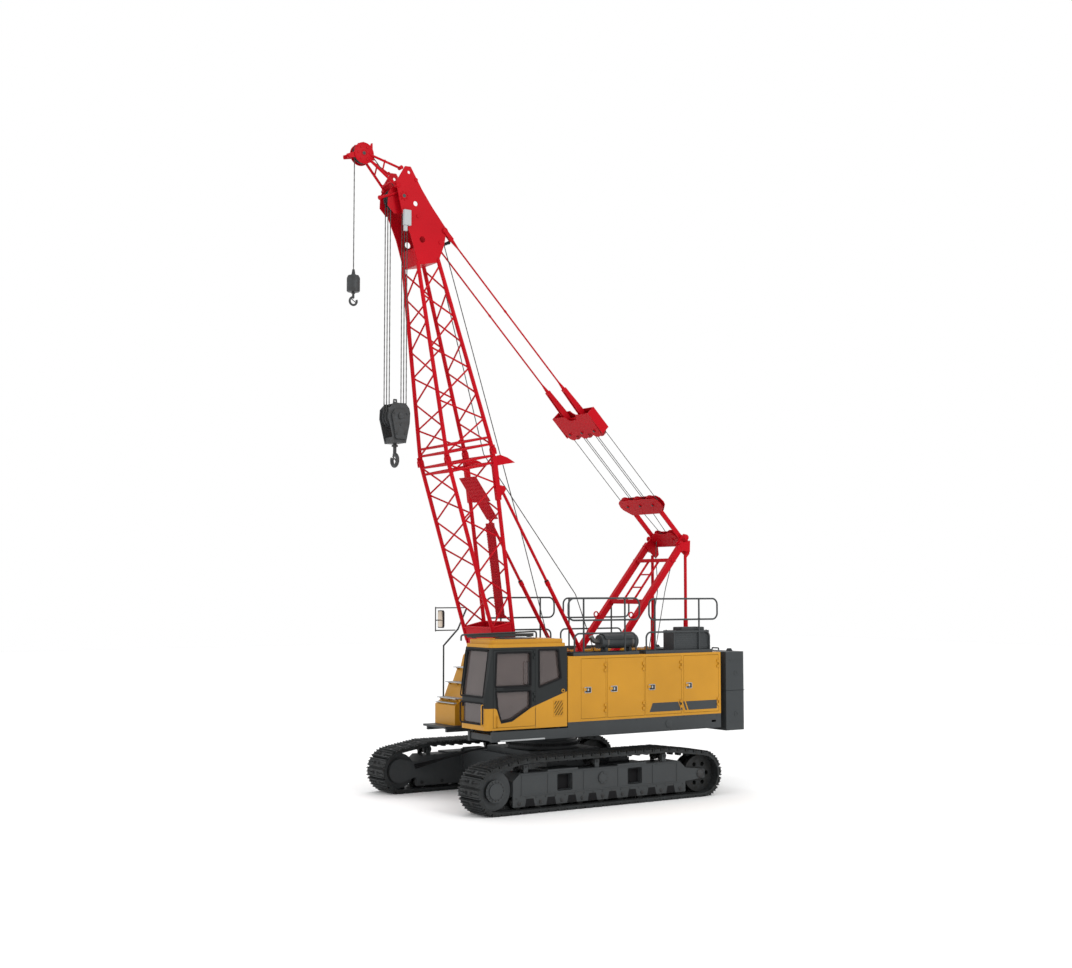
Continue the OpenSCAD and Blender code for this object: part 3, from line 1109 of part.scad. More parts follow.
// Backstops: a tube hinged on the deck, and a rod that slides in it and meets the boom's lug
stop_foot = [stop_x, 0, stop_z];
stop_head = on_boom(stop_pin[0], stop_pin[1]);
stop_line = stop_head - stop_foot;
stop_len = norm(stop_line);
stop_turn = atan2(stop_line[0], stop_line[2]);
rod_d = 56;
tube_len = 2680;
module at_stop() translate(stop_foot) rotate([0, stop_turn, 0]) children();
module backstop_tubes() color(red) at_stop() for (s = [-1, 1]) {
    difference() {
        union() {
            translate([0, s * stop_y, 40]) cylinder(h = tube_len - 40, d = stop_d, $fn = 32);
            disc(0, 0, 60, s * stop_y - stop_d / 2, stop_d, 32);
            translate([0, s * stop_y, tube_len - 90]) cylinder(h = 90, d = stop_d + 16, $fn = 32);
        }
        translate([0, s * stop_y, 140]) cylinder(h = tube_len, d = rod_d + 2 * seat, $fn = 32);
    }
    disc(0, 0, 28, s * stop_y - stop_d / 2 - run - lug_t, stop_d + 2 * (run + lug_t), 24);
}
module backstop_rods() color(red) at_stop() for (s = [-1, 1]) {
    translate([0, s * stop_y, 1060]) cylinder(h = stop_len - 1060 - 40, d = rod_d, $fn = 32);
    disc(0, stop_len, 54, s * (stop_y - 2) - 14, 28, 32);
}

carbody();
side_frames();
track(1);  // track_left
track(-1);  // track_right
drive_tumblers();
idlers();
track_rollers();
deck_frame();
house_left();
house_right();
engine();
counterweight();
cab_lower();
cab_frame();
cab_roof();
cab_glass();
cab_seat();
gantry();
handrails();
roof_gear();
step_box();
side_mirror();
winch_frames();
cab_door();
cab_door_glass();
house_door_left_1();
house_door_left_2();
house_door_left_3();
house_door_left_4();
house_door_right_1();
house_door_right_2();
house_door_right_3();
hoist_drum_front();
front_drum_shaft();
hoist_drum_rear();
luffing_drum();
boom_base();
boom_top();
boom_walkway();
tip_jib();
head_sheaves();
jib_sheave();
main_falls();
block_falls();
hook_block();
block_sheaves();
main_hook();
aux_line();
aux_drop();
aux_hook_weight();
aux_hook();
pendants();
upper_falls();
lower_spreader();
lower_falls();
backstop_tubes();
backstop_rods();
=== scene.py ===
import math
import bmesh
import bpy
import numpy as np
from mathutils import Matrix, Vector


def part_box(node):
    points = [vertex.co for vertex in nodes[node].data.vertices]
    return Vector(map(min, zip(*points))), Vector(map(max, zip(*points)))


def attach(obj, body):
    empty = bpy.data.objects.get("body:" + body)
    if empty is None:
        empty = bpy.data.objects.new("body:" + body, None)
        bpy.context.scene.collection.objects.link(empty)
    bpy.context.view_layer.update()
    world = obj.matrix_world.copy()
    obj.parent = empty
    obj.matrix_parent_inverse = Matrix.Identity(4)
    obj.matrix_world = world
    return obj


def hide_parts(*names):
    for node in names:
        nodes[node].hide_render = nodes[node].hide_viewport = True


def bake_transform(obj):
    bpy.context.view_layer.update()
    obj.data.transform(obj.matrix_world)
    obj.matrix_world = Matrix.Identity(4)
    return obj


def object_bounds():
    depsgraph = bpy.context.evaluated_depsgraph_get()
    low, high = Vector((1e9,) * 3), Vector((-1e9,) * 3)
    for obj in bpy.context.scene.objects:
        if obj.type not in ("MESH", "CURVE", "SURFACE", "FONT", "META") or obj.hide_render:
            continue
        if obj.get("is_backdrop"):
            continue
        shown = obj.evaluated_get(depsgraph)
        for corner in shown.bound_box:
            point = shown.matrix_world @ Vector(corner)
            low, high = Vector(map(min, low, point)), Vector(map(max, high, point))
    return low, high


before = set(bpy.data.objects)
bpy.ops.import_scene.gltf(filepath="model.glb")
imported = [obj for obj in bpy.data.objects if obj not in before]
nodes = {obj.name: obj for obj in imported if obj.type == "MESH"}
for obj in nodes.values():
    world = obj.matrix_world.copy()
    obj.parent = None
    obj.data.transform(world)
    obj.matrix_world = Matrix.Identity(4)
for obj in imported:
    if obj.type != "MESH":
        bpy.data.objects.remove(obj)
cadBounds = [list(map(float, corner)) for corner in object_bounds()]
print("stage: frame loaded", len(nodes), "nodes")

# Materials


def newMaterial(name):
    made = bpy.data.materials.new(name)
    made.use_nodes = True
    tree = made.node_tree
    tree.nodes.clear()
    out = tree.nodes.new("ShaderNodeOutputMaterial")
    shader = tree.nodes.new("ShaderNodeBsdfPrincipled")
    tree.links.new(shader.outputs[0], out.inputs[0])
    where = tree.nodes.new("ShaderNodeTexCoord").outputs["Object"]
    return made, tree, shader, where


def noise(tree, vector, scale, detail=4, rough=0.55):
    made = tree.nodes.new("ShaderNodeTexNoise")
    for key, value in (("Scale", scale), ("Detail", detail), ("Roughness", rough)):
        made.inputs[key].default_value = value
    tree.links.new(vector, made.inputs["Vector"])
    return made.outputs["Fac"]


# The factor from low to high turned into a colour from first to last
def ramp(tree, factor, low, high, first, last):
    made = tree.nodes.new("ShaderNodeValToRGB")
    for element, position, colour in zip(made.color_ramp.elements, (low, high), (first, last)):
        element.position = position
        element.color = (*colour, 1)
    tree.links.new(factor, made.inputs[0])
    return made.outputs[0]


# The factor from low to high turned into a number from first to last
def remap(tree, factor, low, high, first, last):
    made = tree.nodes.new("ShaderNodeMapRange")
    for key, value in zip(("From Min", "From Max", "To Min", "To Max"), (low, high, first, last)):
        made.inputs[key].default_value = value
    tree.links.new(factor, made.inputs["Value"])
    return made.outputs[0]


def bumped(tree, shader, height, strength, distance):
    made = tree.nodes.new("ShaderNodeBump")
    made.inputs["Strength"].default_value = strength
    made.inputs["Distance"].default_value = distance
    tree.links.new(height, made.inputs["Height"])
    tree.links.new(made.outputs[0], shader.inputs["Normal"])


# Paint: two close tints by a wide noise, fine dust by a small one, and a little road dirt low down
def paint(name, tint, rough, coat=0.05, dirt=0.35, gloss=0.22, grain=0.0):
    made, tree, shader, where = newMaterial(name)
    fine = noise(tree, where, 26, 5, 0.7)
    base = ramp(tree, noise(tree, where, 0.9, 3), 0.3, 0.7, [c * 0.86 for c in tint], tint)
    apart = tree.nodes.new("ShaderNodeSeparateXYZ")
    tree.links.new(where, apart.inputs[0])
    both = tree.nodes.new("ShaderNodeMath")
    both.operation = "MULTIPLY"
    tree.links.new(remap(tree, apart.outputs["Z"], 0.1, 1.5, dirt, 0.0), both.inputs[0])
    tree.links.new(remap(tree, fine, 0.45, 0.85, 0.1, 0.8), both.inputs[1])
    dirty = tree.nodes.new("ShaderNodeMix")
    dirty.data_type = "RGBA"
    tree.links.new(both.outputs[0], dirty.inputs[0])
    tree.links.new(base, dirty.inputs[6])
    dirty.inputs[7].default_value = (0.11, 0.095, 0.08, 1)
    tree.links.new(dirty.outputs[2], shader.inputs["Base Color"])
    tree.links.new(remap(tree, fine, 0.3, 0.7, rough - 0.05, rough + 0.09), shader.inputs["Roughness"])
    shader.inputs["Coat Weight"].default_value = coat
    shader.inputs["Coat Roughness"].default_value = 0.18
    shader.inputs["Specular IOR Level"].default_value = gloss
    if grain:
        bumped(tree, shader, noise(tree, where, 90, 4), grain, 0.002)
    return made


# Bare or blackened steel: brushed or cast, with a second tint in the hollows of a noise
def steel(name, tint, hollow, rough, metal, scale, bump):
    made, tree, shader, where = newMaterial(name)
    wide = noise(tree, where, scale, 6, 0.65)
    tree.links.new(ramp(tree, wide, 0.38, 0.68, hollow, tint), shader.inputs["Base Color"])
    tree.links.new(remap(tree, wide, 0.3, 0.7, rough + 0.15, rough - 0.06), shader.inputs["Roughness"])
    shader.inputs["Metallic"].default_value = metal
    shader.inputs["Specular IOR Level"].default_value = 0.25
    bumped(tree, shader, noise(tree, where, scale * 9, 4), bump, 0.003)
    return made


# Glass: a tinted pane with a faint film of dust
def pane(name, tint, clear, metal=0.0):
    made, tree, shader, where = newMaterial(name)
    film = noise(tree, where, 2.2, 4)
    tree.links.new(ramp(tree, film, 0.35, 0.75, tint, [c * 1.35 for c in tint]), shader.inputs["Base Color"])
    tree.links.new(remap(tree, film, 0.3, 0.7, 0.03, 0.09), shader.inputs["Roughness"])
    shader.inputs["Transmission Weight"].default_value = clear
    shader.inputs["Metallic"].default_value = metal
    shader.inputs["IOR"].default_value = 1.45
    return made


# Rubber, plastic and cloth: a plain dark tint with a fine grain
def soft(name, tint, rough, scale, bump, sheen=0.0):
    made, tree, shader, where = newMaterial(name)
    grain = noise(tree, where, scale, 3)
    tree.links.new(ramp(tree, grain, 0.3, 0.7, [c * 0.7 for c in tint], tint), shader.inputs["Base Color"])
    tree.links.new(remap(tree, grain, 0.2, 0.8, rough - 0.08, rough + 0.08), shader.inputs["Roughness"])
    shader.inputs["Sheen Weight"].default_value = sheen
    shader.inputs["Specular IOR Level"].default_value = 0.2
    bumped(tree, shader, grain, bump, 0.001)
    return made


redPaint = paint("red_paint_look", (0.46, 0.003, 0.010), 0.36, 0.0, 0.1, 0.07)
deckRed = paint("walkway_red_look", (0.42, 0.006, 0.014), 0.55, 0.0, 0.1, 0.07, grain=0.5)
yellowPaint = paint("yellow_paint_look", (0.52, 0.245, 0.015), 0.34, 0.08, 0.3)
slatePaint = paint("slate_paint_look", (0.044, 0.049, 0.052), 0.48, 0.03)
cabDark = paint("cab_dark_look", (0.022, 0.025, 0.026), 0.45, 0.02, 0.1, 0.12)
weightPaint = paint("counterweight_look", (0.040, 0.045, 0.048), 0.55, 0.03, 0.2, grain=0.35)
framePaint = paint("undercarriage_look", (0.043, 0.048, 0.051), 0.5, 0.03, 0.25, grain=0.3)
greyPaint = paint("light_grey_look", (0.42, 0.44, 0.45), 0.4, 0.2, 0.2)
pipePaint = paint("pipe_brown_look", (0.33, 0.095, 0.028), 0.45, 0.2, 0.2)
trackSteel = steel("track_steel_look", (0.024, 0.027, 0.029), (0.016, 0.017, 0.017), 0.5, 0.12, 7, 0.5)
wheelSteel = steel("wheel_steel_look", (0.020, 0.022, 0.024), (0.014, 0.014, 0.013), 0.5, 0.1, 12, 0.35)
drumSteel = steel("drum_steel_look", (0.16, 0.165, 0.17), (0.11, 0.10, 0.09), 0.42, 0.7, 10, 0.2)
ropeSteel = steel("rope_look", (0.12, 0.125, 0.13), (0.05, 0.046, 0.040), 0.42, 0.85, 60, 0.3)
hookSteel = steel("hook_steel_look", (0.050, 0.054, 0.058), (0.040, 0.040, 0.040), 0.45, 0.15, 14, 0.3)
boltSteel = steel("bolt_look", (0.055, 0.058, 0.062), (0.040, 0.038, 0.036), 0.4, 0.4, 30, 0.2)
glassPane = pane("tinted_glass_look", (0.135, 0.108, 0.104), 0.5)
mirrorPane = pane("mirror_look", (0.50, 0.42, 0.34), 0.0, 0.9)
rubber = soft("rubber_look", (0.007, 0.007, 0.008), 0.75, 40, 0.15)
plastic = soft("plastic_look", (0.028, 0.029, 0.031), 0.5, 160, 0.12)
seatCloth = soft("seat_cloth_look", (0.045, 0.046, 0.052), 0.88, 420, 0.5, 0.4)
linerCloth = soft("liner_look", (0.16, 0.15, 0.145), 0.8, 200, 0.2)

looks = {
    redPaint: ["boom_base", "boom_top", "tip_jib", "gantry", "pendants", "lower_spreader",
               "backstop_tubes", "backstop_rods"],
    deckRed: ["boom_walkway"],
    yellowPaint: ["house_left", "house_right", "cab_lower", "cab_roof", "step_box"]
    + ["house_door_left_%d" % i for i in (1, 2, 3, 4)] + ["house_door_right_%d" % i for i in (1, 2, 3)],
    slatePaint: ["deck_frame", "handrails", "roof_gear", "winch_frames"],
    cabDark: ["cab_frame", "cab_door"],
    weightPaint: ["counterweight"],
    framePaint: ["carbody", "side_frames", "drive_tumblers"],
    trackSteel: ["track_left", "track_right"],
    wheelSteel: ["idlers", "track_rollers"],
    hookSteel: ["hook_block", "main_hook", "aux_hook", "aux_hook_weight", "head_sheaves", "jib_sheave",
                "block_sheaves"],
    drumSteel: ["hoist_drum_front", "front_drum_shaft", "hoist_drum_rear", "luffing_drum", "engine"],
    ropeSteel: ["main_falls", "block_falls", "aux_line", "aux_drop", "upper_falls", "lower_falls"],
    glassPane: ["cab_glass", "cab_door_glass"],
    plastic: ["side_mirror", "cab_seat"],
}
for look, names in looks.items():
    for name in names:
        nodes[name].data.materials.clear()
        nodes[name].data.materials.append(look)
print("stage: materials on", sum(len(names) for names in looks.values()), "nodes")

# Surfaces
boxCorners = np.array([[x, y, z] for x in (-1, 1) for y in (-1, 1) for z in (-1, 1)], float)
boxQuads = [[0, 1, 3, 2], [4, 6, 7, 5], [0, 4, 5, 1], [2, 3, 7, 6], [0, 2, 6, 4], [1, 5, 7, 3]]


# Two unit vectors square to an axis, and the axis itself
def squareTo(axis):
    along = np.array(axis, float) / np.linalg.norm(axis)
    other = np.array([0, 0, 1.0]) if abs(along[2]) < 0.9 else np.array([1.0, 0, 0])
    first = np.cross(other, along)
    first /= np.linalg.norm(first)
    return first, np.cross(along, first), along


# Evenly round a circle: cos a first + sin a second
def around(first, second, sides):
    a = np.linspace(0, 2 * math.pi, sides, endpoint=False)[:, None]
    return first * np.cos(a) + second * np.sin(a)


# Quads of a grid of rows by cols points, joined round in either direction
def gridQuads(rows, cols, roundRows=False, roundCols=True):
    r = np.arange(rows if roundRows else rows - 1)[:, None]
    c = np.arange(cols if roundCols else cols - 1)[None, :]
    rn, cn = (r + 1) % rows, (c + 1) % cols
    return np.stack([r * cols + c, r * cols + cn, rn * cols + cn, rn * cols + c], -1).reshape(-1, 4)


# The same faces on each of many equal sets of points
def repeated(faces, count, size):
    faces = np.array(faces)
    return (np.arange(count)[:, None, None] * size + faces[None]).reshape(-1, faces.shape[1]).tolist()


# The two faces that close a stack of rings
def endFaces(sides, total):
    return [list(range(sides))[::-1], list(range(total - sides, total))]


# Ring of points round a path: path + radius (cos a first + sin a second), with the two square to the
# path's tangent. lay > 0 twists six strands into it: radius times 1 + 0.09 cos(6 a - 2 pi s / lay).
def tube(path, radius, sides=12, closed=False, side=(0, 1, 0), lay=0.0):
    path = np.array(path, float)
    tangent = np.roll(path, -1, 0) - np.roll(path, 1, 0) if closed else np.gradient(path, axis=0)
    tangent /= np.linalg.norm(tangent, axis=1)[:, None]
    first = np.cross(np.array(side, float), tangent)
    first /= np.linalg.norm(first, axis=1)[:, None]
    second = np.cross(tangent, first)
    a = np.linspace(0, 2 * math.pi, sides, endpoint=False)
    size = np.full((len(path), sides), float(radius))
    if lay:
        run = np.linalg.norm(np.diff(path, axis=0, prepend=path[:1]), axis=1).cumsum()
        size *= 1 + 0.09 * np.cos(6 * a[None, :] - 2 * math.pi * run[:, None] / lay)
    ring = first[:, None, :] * np.cos(a)[None, :, None] + second[:, None, :] * np.sin(a)[None, :, None]
    points = (path[:, None, :] + ring * size[:, :, None]).reshape(-1, 3)
    faces = gridQuads(len(path), sides, roundRows=closed)[:, ::-1].tolist()
    return points, faces if closed else faces + [end[::-1] for end in endFaces(sides, len(points))]


# Surface of revolution: origin + along t + radius(t) (cos a first + sin a second)
def lathe(profile, origin, axis, sides=32):
    first, second, along = squareTo(axis)
    profile = np.array(profile, float)
    points = (np.array(origin, float) + along * profile[:, 1][:, None, None]
              + around(first, second, sides)[None] * profile[:, 0][:, None, None]).reshape(-1, 3)
    return points, gridQuads(len(profile), sides).tolist() + endFaces(sides, len(points))


# Round pin head or cover: a disc of the radius up to edge, drawn in to top at the height rise
def pinHead(at, axis, radius, edge, top, rise, sides=28):
    return lathe([(radius, 0), (radius, edge), (top, rise), (0.0001, rise)], at, axis, sides)


# Boxes of one size at many centres, turned by the matrix turn
def boxes(centres, size, turn=None):
    corner = boxCorners * np.array(size) / 2
    if turn is not None:
        corner = corner @ np.array(turn, float).T
    centres = np.array(centres, float).reshape(-1, 3)
    return (centres[:, None, :] + corner[None]).reshape(-1, 3), repeated(boxQuads, len(centres), 8)


# Prisms of a regular polygon: the same ring at two heights, the upper one drawn in, at many places
def studs(centres, axis, radius, height, sides=6, taper=0.86):
    first, second, along = squareTo(axis)
    ring = around(first, second, sides) * radius
    one = np.concatenate([ring, ring + along * height * 0.7, ring * taper + along * height])
    centres = np.array(centres, float).reshape(-1, 3)
    points = (centres[:, None, :] + one[None]).reshape(-1, 3)
    faces = [repeated(f, len(centres), len(one)) for f in (gridQuads(3, sides), endFaces(sides, len(one)))]
    return points, faces[0] + faces[1]


# Places evenly round a circle: centre + radius (cos a first + sin a second)
def circlePlaces(centre, axis, radius, count):
    return np.array(centre, float) + radius * around(*squareTo(axis)[:2], count)


# Places of a grid: every x with every y and every z
def spots(x, y, z):
    return np.stack([g.ravel() for g in np.meshgrid(x, y, z)], 1).astype(float)


# Outline of a rectangle with round corners: corner centres plus radius times the corner's arc
def roundOutline(width, height, radius, steps=6):
    a = np.linspace(0, math.pi / 2, steps)
    arcs = []
    for k, (x, y) in enumerate(((1, 1), (-1, 1), (-1, -1), (1, -1))):
        t = a + k * math.pi / 2
        arcs.append(np.stack([x * (width / 2 - radius) + radius * np.cos(t),
                              y * (height / 2 - radius) + radius * np.sin(t)], 1))
    return np.concatenate(arcs)


# Rows of outline points set in the plane of u and v, at the given heights along its normal
def raised(rows, heights, middle, u, v):
    u, v = np.array(u, float), np.array(v, float)
    return np.concatenate([np.array(middle, float) + r[:, :1] * u + r[:, 1:] * v + np.cross(u, v) * h
                           for r, h in zip(rows, heights)])


# Plate of an outline, given in the two directions u and v from a middle, raised along their normal
def plate(outline, middle, u, v, thick, ease=0.0):
    outline = np.array(outline, float)
    rows, heights = [outline, outline], [0, thick - ease]
    if ease:
        rows.append(outline * (1 - ease / np.abs(outline).max(0)))
        heights.append(thick)
    points = raised(rows, heights, middle, u, v)
    return points, gridQuads(len(rows), len(outline)).tolist() + endFaces(len(outline), len(points))


# Closed strip along an outline: its inside edge is the outline drawn in by width towards the middle
def frameStrip(outline, middle, u, v, width, thick):
    outline = np.array(outline, float)
    near = np.roll(outline, 1, 0) - np.roll(outline, -1, 0)
    inward = np.stack([near[:, 1], -near[:, 0]], 1)
    inward /= np.linalg.norm(inward, axis=1)[:, None]
    inner = outline - np.sign((inward * outline).sum()) * inward * width
    rows = [outline, outline, (outline * 3 + inner) / 4, (outline + inner * 3) / 4, inner, inner]
    heights = [0, thick * 0.6, thick, thick, thick * 0.6, 0]
    return raised(rows, heights, middle, u, v), gridQuads(6, len(outline), roundRows=True).tolist()


# Straight line of points from p to q
def line(p, q, count):
    return np.linspace(p, q, count)


# Straight lines from corner to corner, with the given number of points on each
def legs(corners, counts):
    made = [line(p, q, n) for p, q, n in zip(corners[:-1], corners[1:], counts)]
    return np.concatenate([made[0]] + [leg[1:] for leg in made[1:]])


# Corner points joined by arcs: each bend is the quadratic curve through the points set back by radius
def bent(corners, radius, steps=7):
    corners = np.array(corners, float)
    path = [corners[:1]]
    t = np.linspace(0, 1, steps)[:, None]
    for before, here, after in zip(corners[:-2], corners[1:-1], corners[2:]):
        start = here + (before - here) / np.linalg.norm(before - here) * radius
        end = here + (after - here) / np.linalg.norm(after - here) * radius
        path.append(start * (1 - t) ** 2 + 2 * here * t * (1 - t) + end * t ** 2)
    path.append(corners[-1:])
    return np.concatenate(path)


# Closed rope path on two sheaves: high + r (cos t across + sin t up), low less the same, and straight runs
def ropeLoop(high, low, across, up, r, arc, run):
    t = np.linspace(0, math.pi, arc)[:, None]
    bow = r * (np.cos(t) * across + np.sin(t) * up)
    top, bottom = high + bow, low - bow
    return np.concatenate([top, line(top[-1], bottom[0], run)[1:-1],
                           bottom, line(bottom[-1], top[0], run)[1:-1]])


def joined(parts):
    points, faces, base = [], [], 0
    for p, f in parts:
        points.append(p)
        faces += [[i + base for i in face] for face in f]
        base += len(p)
    return np.concatenate(points), faces


# Makes one object of the parts; it rides on a body and takes the given look as its material
def piece(spec, parts, look, body, smooth=True, bevel=0.0):
    points, faces = joined(parts if isinstance(parts, list) else [parts])
    mesh = bpy.data.meshes.new(spec["name"])
    mesh.from_pydata(points.tolist(), [], faces)
    mesh.validate()
    shell = bmesh.new()
    shell.from_mesh(mesh)
    bmesh.ops.recalc_face_normals(shell, faces=shell.faces)
    shell.to_mesh(mesh)
    shell.free()
    made = bpy.data.objects.new(spec["name"], mesh)
    bpy.context.scene.collection.objects.link(made)
    if smooth:
        mesh.polygons.foreach_set("use_smooth", [True] * len(mesh.polygons))
        mesh.set_sharp_from_angle(angle=math.radians(38))
    if bevel:
        ease = made.modifiers.new("ease", "BEVEL")
        ease.width = bevel
        ease.segments = 2
        ease.limit_method = "ANGLE"
        ease.angle_limit = math.radians(40)
    mesh.materials.append(look)
    if body:
        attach(made, body)
    return made


# Places on the boom and the stays
foot = np.array([0.866, 0.0, 1.514])
tilt = math.radians(12.5)
boomX = np.array([math.cos(tilt), 0, -math.sin(tilt)])      # to the boom's front
boomZ = np.array([math.sin(tilt), 0, math.cos(tilt)])       # along the boom
forward, left, up = np.eye(3)
bothSides = (-1, 1)                                         # right and left
facing = {s: ((-s, 0, 0), (0, 0, 1)) for s in bothSides}    # directions of a plate on either side's face


def onBoom(x, y, z):
    return foot + boomX * x + left * y + boomZ * z


# Half the boom's depth and width at a height along it: straight between the foot, the joint and the head
def halfDepth(z):
    return np.interp(z, (0, 5, 8.63), (0.0825, 0.5, 0.22))


def halfWidth(z):
    return np.interp(z, (0, 5, 8.63), (0.505, 0.505, 0.28))


mainAt = onBoom(0.258, 0, 9.876)
jibAt = onBoom(0.801, 0, 10.747)
auxX = float(jibAt[0] + 0.15)
pinAt = onBoom(-0.470, 0, 9.170)
headPin = np.array([-3.09, 0, 4.95])
stayLen = float(np.linalg.norm(headPin - pinAt))
stayZ = (headPin - pinAt) / stayLen
stayX = np.array([stayZ[2], 0, -stayZ[0]])


def onStay(x, y, z):
    return pinAt + stayX * x + left * y + stayZ * z


# Ropes
mainRope = {"name": "main_falls_rope", "slot": "rope_steel", "radius": 0.009, "lay": 0.13, "blockZ": 7.05,
            "sheave": 0.175, "ys": (-0.1, 0.0, 0.1)}
parts = [tube(ropeLoop(mainAt + left * y, np.array([mainAt[0], y, mainRope["blockZ"]]), forward, up,
                       mainRope["sheave"], 25, 200), mainRope["radius"], closed=True, lay=mainRope["lay"])
         for y in mainRope["ys"]]
rope = piece(mainRope, parts, ropeSteel, None)
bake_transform(rope)
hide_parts("main_falls", "block_falls")

auxRope = {"name": "aux_line_rope", "slot": "rope_steel", "radius": 0.009, "lay": 0.13, "sheave": 0.150,
           "wrap": 78, "low": 9.66}
wrap = np.radians(np.linspace(auxRope["wrap"], 0, 22))[:, None]
over = jibAt + auxRope["sheave"] * (np.cos(wrap) * forward + np.sin(wrap) * up)
rope = piece(auxRope, tube(legs([*over, (auxX, 0, auxRope["low"])], [2] * 21 + [160]), auxRope["radius"],
                           lay=auxRope["lay"]), ropeSteel, None)
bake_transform(rope)
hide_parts("aux_line", "aux_drop")

tackle = {"name": "luffing_tackle_rope", "slot": "rope_steel", "radius": 0.007, "lay": 0.1, "sheave": 0.172,
          "ys": (-0.41, 0.0, 0.41), "upper": 4.88, "lower": stayLen - 0.95}
parts = [tube(ropeLoop(onStay(0, y, tackle["upper"]), onStay(0, y, tackle["lower"]), left, -stayZ,
                       tackle["sheave"], 21, 110), tackle["radius"], closed=True, side=stayX, lay=tackle["lay"])
         for y in tackle["ys"]]
rope = piece(tackle, parts, ropeSteel, None)
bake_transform(rope)
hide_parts("upper_falls", "lower_falls")

# Ropes from the lower spreader's middle sheave to the gantry's head sheaves, and on to the luffing drum
headRope = {"name": "gantry_head_rope", "slot": "rope_steel", "radius": 0.007, "lay": 0.1, "apart": (0.172, 0.083)}
parts = [tube(line(onStay(0, s * headRope["apart"][0], tackle["lower"]),
                   onStay(0, s * headRope["apart"][1], stayLen - 0.02), 60),
              headRope["radius"], side=stayX, lay=headRope["lay"]) for s in bothSides]
rope = piece(headRope, parts, ropeSteel, None)
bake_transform(rope)

luffRope = {"name": "luffing_lead_rope", "slot": "rope_steel", "radius": 0.008, "lay": 0.12}
parts = [tube(bent([onStay(0, s * 0.347, stayLen), (-3.02, s * 0.30, 4.62), (-2.93, s * 0.12, 3.9),
                    (-2.50, s * 0.10, 1.80)], 0.12, 30), luffRope["radius"], lay=luffRope["lay"]) for s in bothSides]
piece(luffRope, parts, ropeSteel, "upperworks")

hoistRope = {"name": "front_hoist_rope", "slot": "rope_steel", "radius": 0.009, "lay": 0.13,
             "path": [(-0.345, 0.08, 1.80), (-0.01, 0.06, 3.185), (0.503, 0.04, 4.921), (2.237, 0, 10.377),
                      mainAt + [-0.10, 0, 0.15]]}
rope = piece(hoistRope, tube(legs(hoistRope["path"], (40, 40, 160, 30)), hoistRope["radius"],
                             lay=hoistRope["lay"]), ropeSteel, None)
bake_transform(rope)

rearRope = {"name": "rear_hoist_rope", "slot": "rope_steel", "radius": 0.009, "lay": 0.13,
            "path": [(-1.56, -0.10, 2.02), (-0.862, -0.12, 3.804), onBoom(-0.70, -0.16, 4.93),
                     onBoom(-0.42, -0.10, 9.05), jibAt + [-0.1, 0, 0.12]]}
rope = piece(rearRope, tube(legs(rearRope["path"], (50, 60, 120, 60)), rearRope["radius"],
                            lay=rearRope["lay"]), ropeSteel, None)
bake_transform(rope)


# Rope wound on a drum: radius + d/2 (0.4 + 0.6 |sin(pi (y / d) - a / 2)|), which is a helix of one rope's pitch
def winding(x, z, radius, half, d, ends=0.012):
    rows, sides = int(2 * half / d * 8), 72
    y = np.linspace(-half + ends, half - ends, rows)[:, None]
    a = np.linspace(0, 2 * math.pi, sides, endpoint=False)[None, :]
    r = radius + d / 2 * (0.4 + 0.6 * np.abs(np.sin(math.pi * y / d - a / 2)))
    r[0], r[-1] = radius - 0.002, radius - 0.002
    points = np.stack([x + r * np.cos(a), y + 0 * a, z + r * np.sin(a)], -1).reshape(-1, 3)
    return points, gridQuads(rows, sides)[:, ::-1].tolist()


for name, body, x, z, radius, d in (("front_drum_rope", "drum_front", -0.6, 1.79, 0.254, 0.022),
                                    ("rear_drum_rope", "drum_rear", -1.75, 1.79, 0.254, 0.022),
                                    ("luffing_drum_rope", "drum_luffing", -2.7, 1.74, 0.204, 0.018)):
    piece({"name": name, "slot": "rope_steel"}, winding(x, z, radius, 0.33, d), ropeSteel, body)
print("stage: ropes")

# Undercarriage. The track's outer line in x and z, by the run s along it: two arcs of radius r and the
# straight lines touching them
track = {"axle": 2.29, "radius": 0.42, "top": 0.945, "front": 1.7, "rear": -1.5, "shoes": 60,
         "middle": 1.73, "outer": 1.945, "bolts": np.array([-0.29, -0.17, 0.17, 0.29])}


def trackLine():
    x0, r, top = track["axle"], track["radius"], track["top"]
    turns = []
    for way, x in ((1, track["front"] - x0), (-1, track["rear"] + x0)):
        turns.append(math.atan2(top - r, x) - way * math.acos(r / math.hypot(x, top - r)))
    first = np.linspace(-math.pi / 2, turns[0], 120)
    last = np.linspace(turns[1], 1.5 * math.pi, 120)
    edge = np.concatenate([[[-x0, 0.0]], np.stack([x0 + r * np.cos(first), r + r * np.sin(first)], 1),
                           [[track["front"], top], [track["rear"], top]],
                           np.stack([-x0 + r * np.cos(last), r + r * np.sin(last)], 1)])
    return np.concatenate([[0], np.linalg.norm(np.diff(edge, axis=0), axis=1).cumsum()]), edge


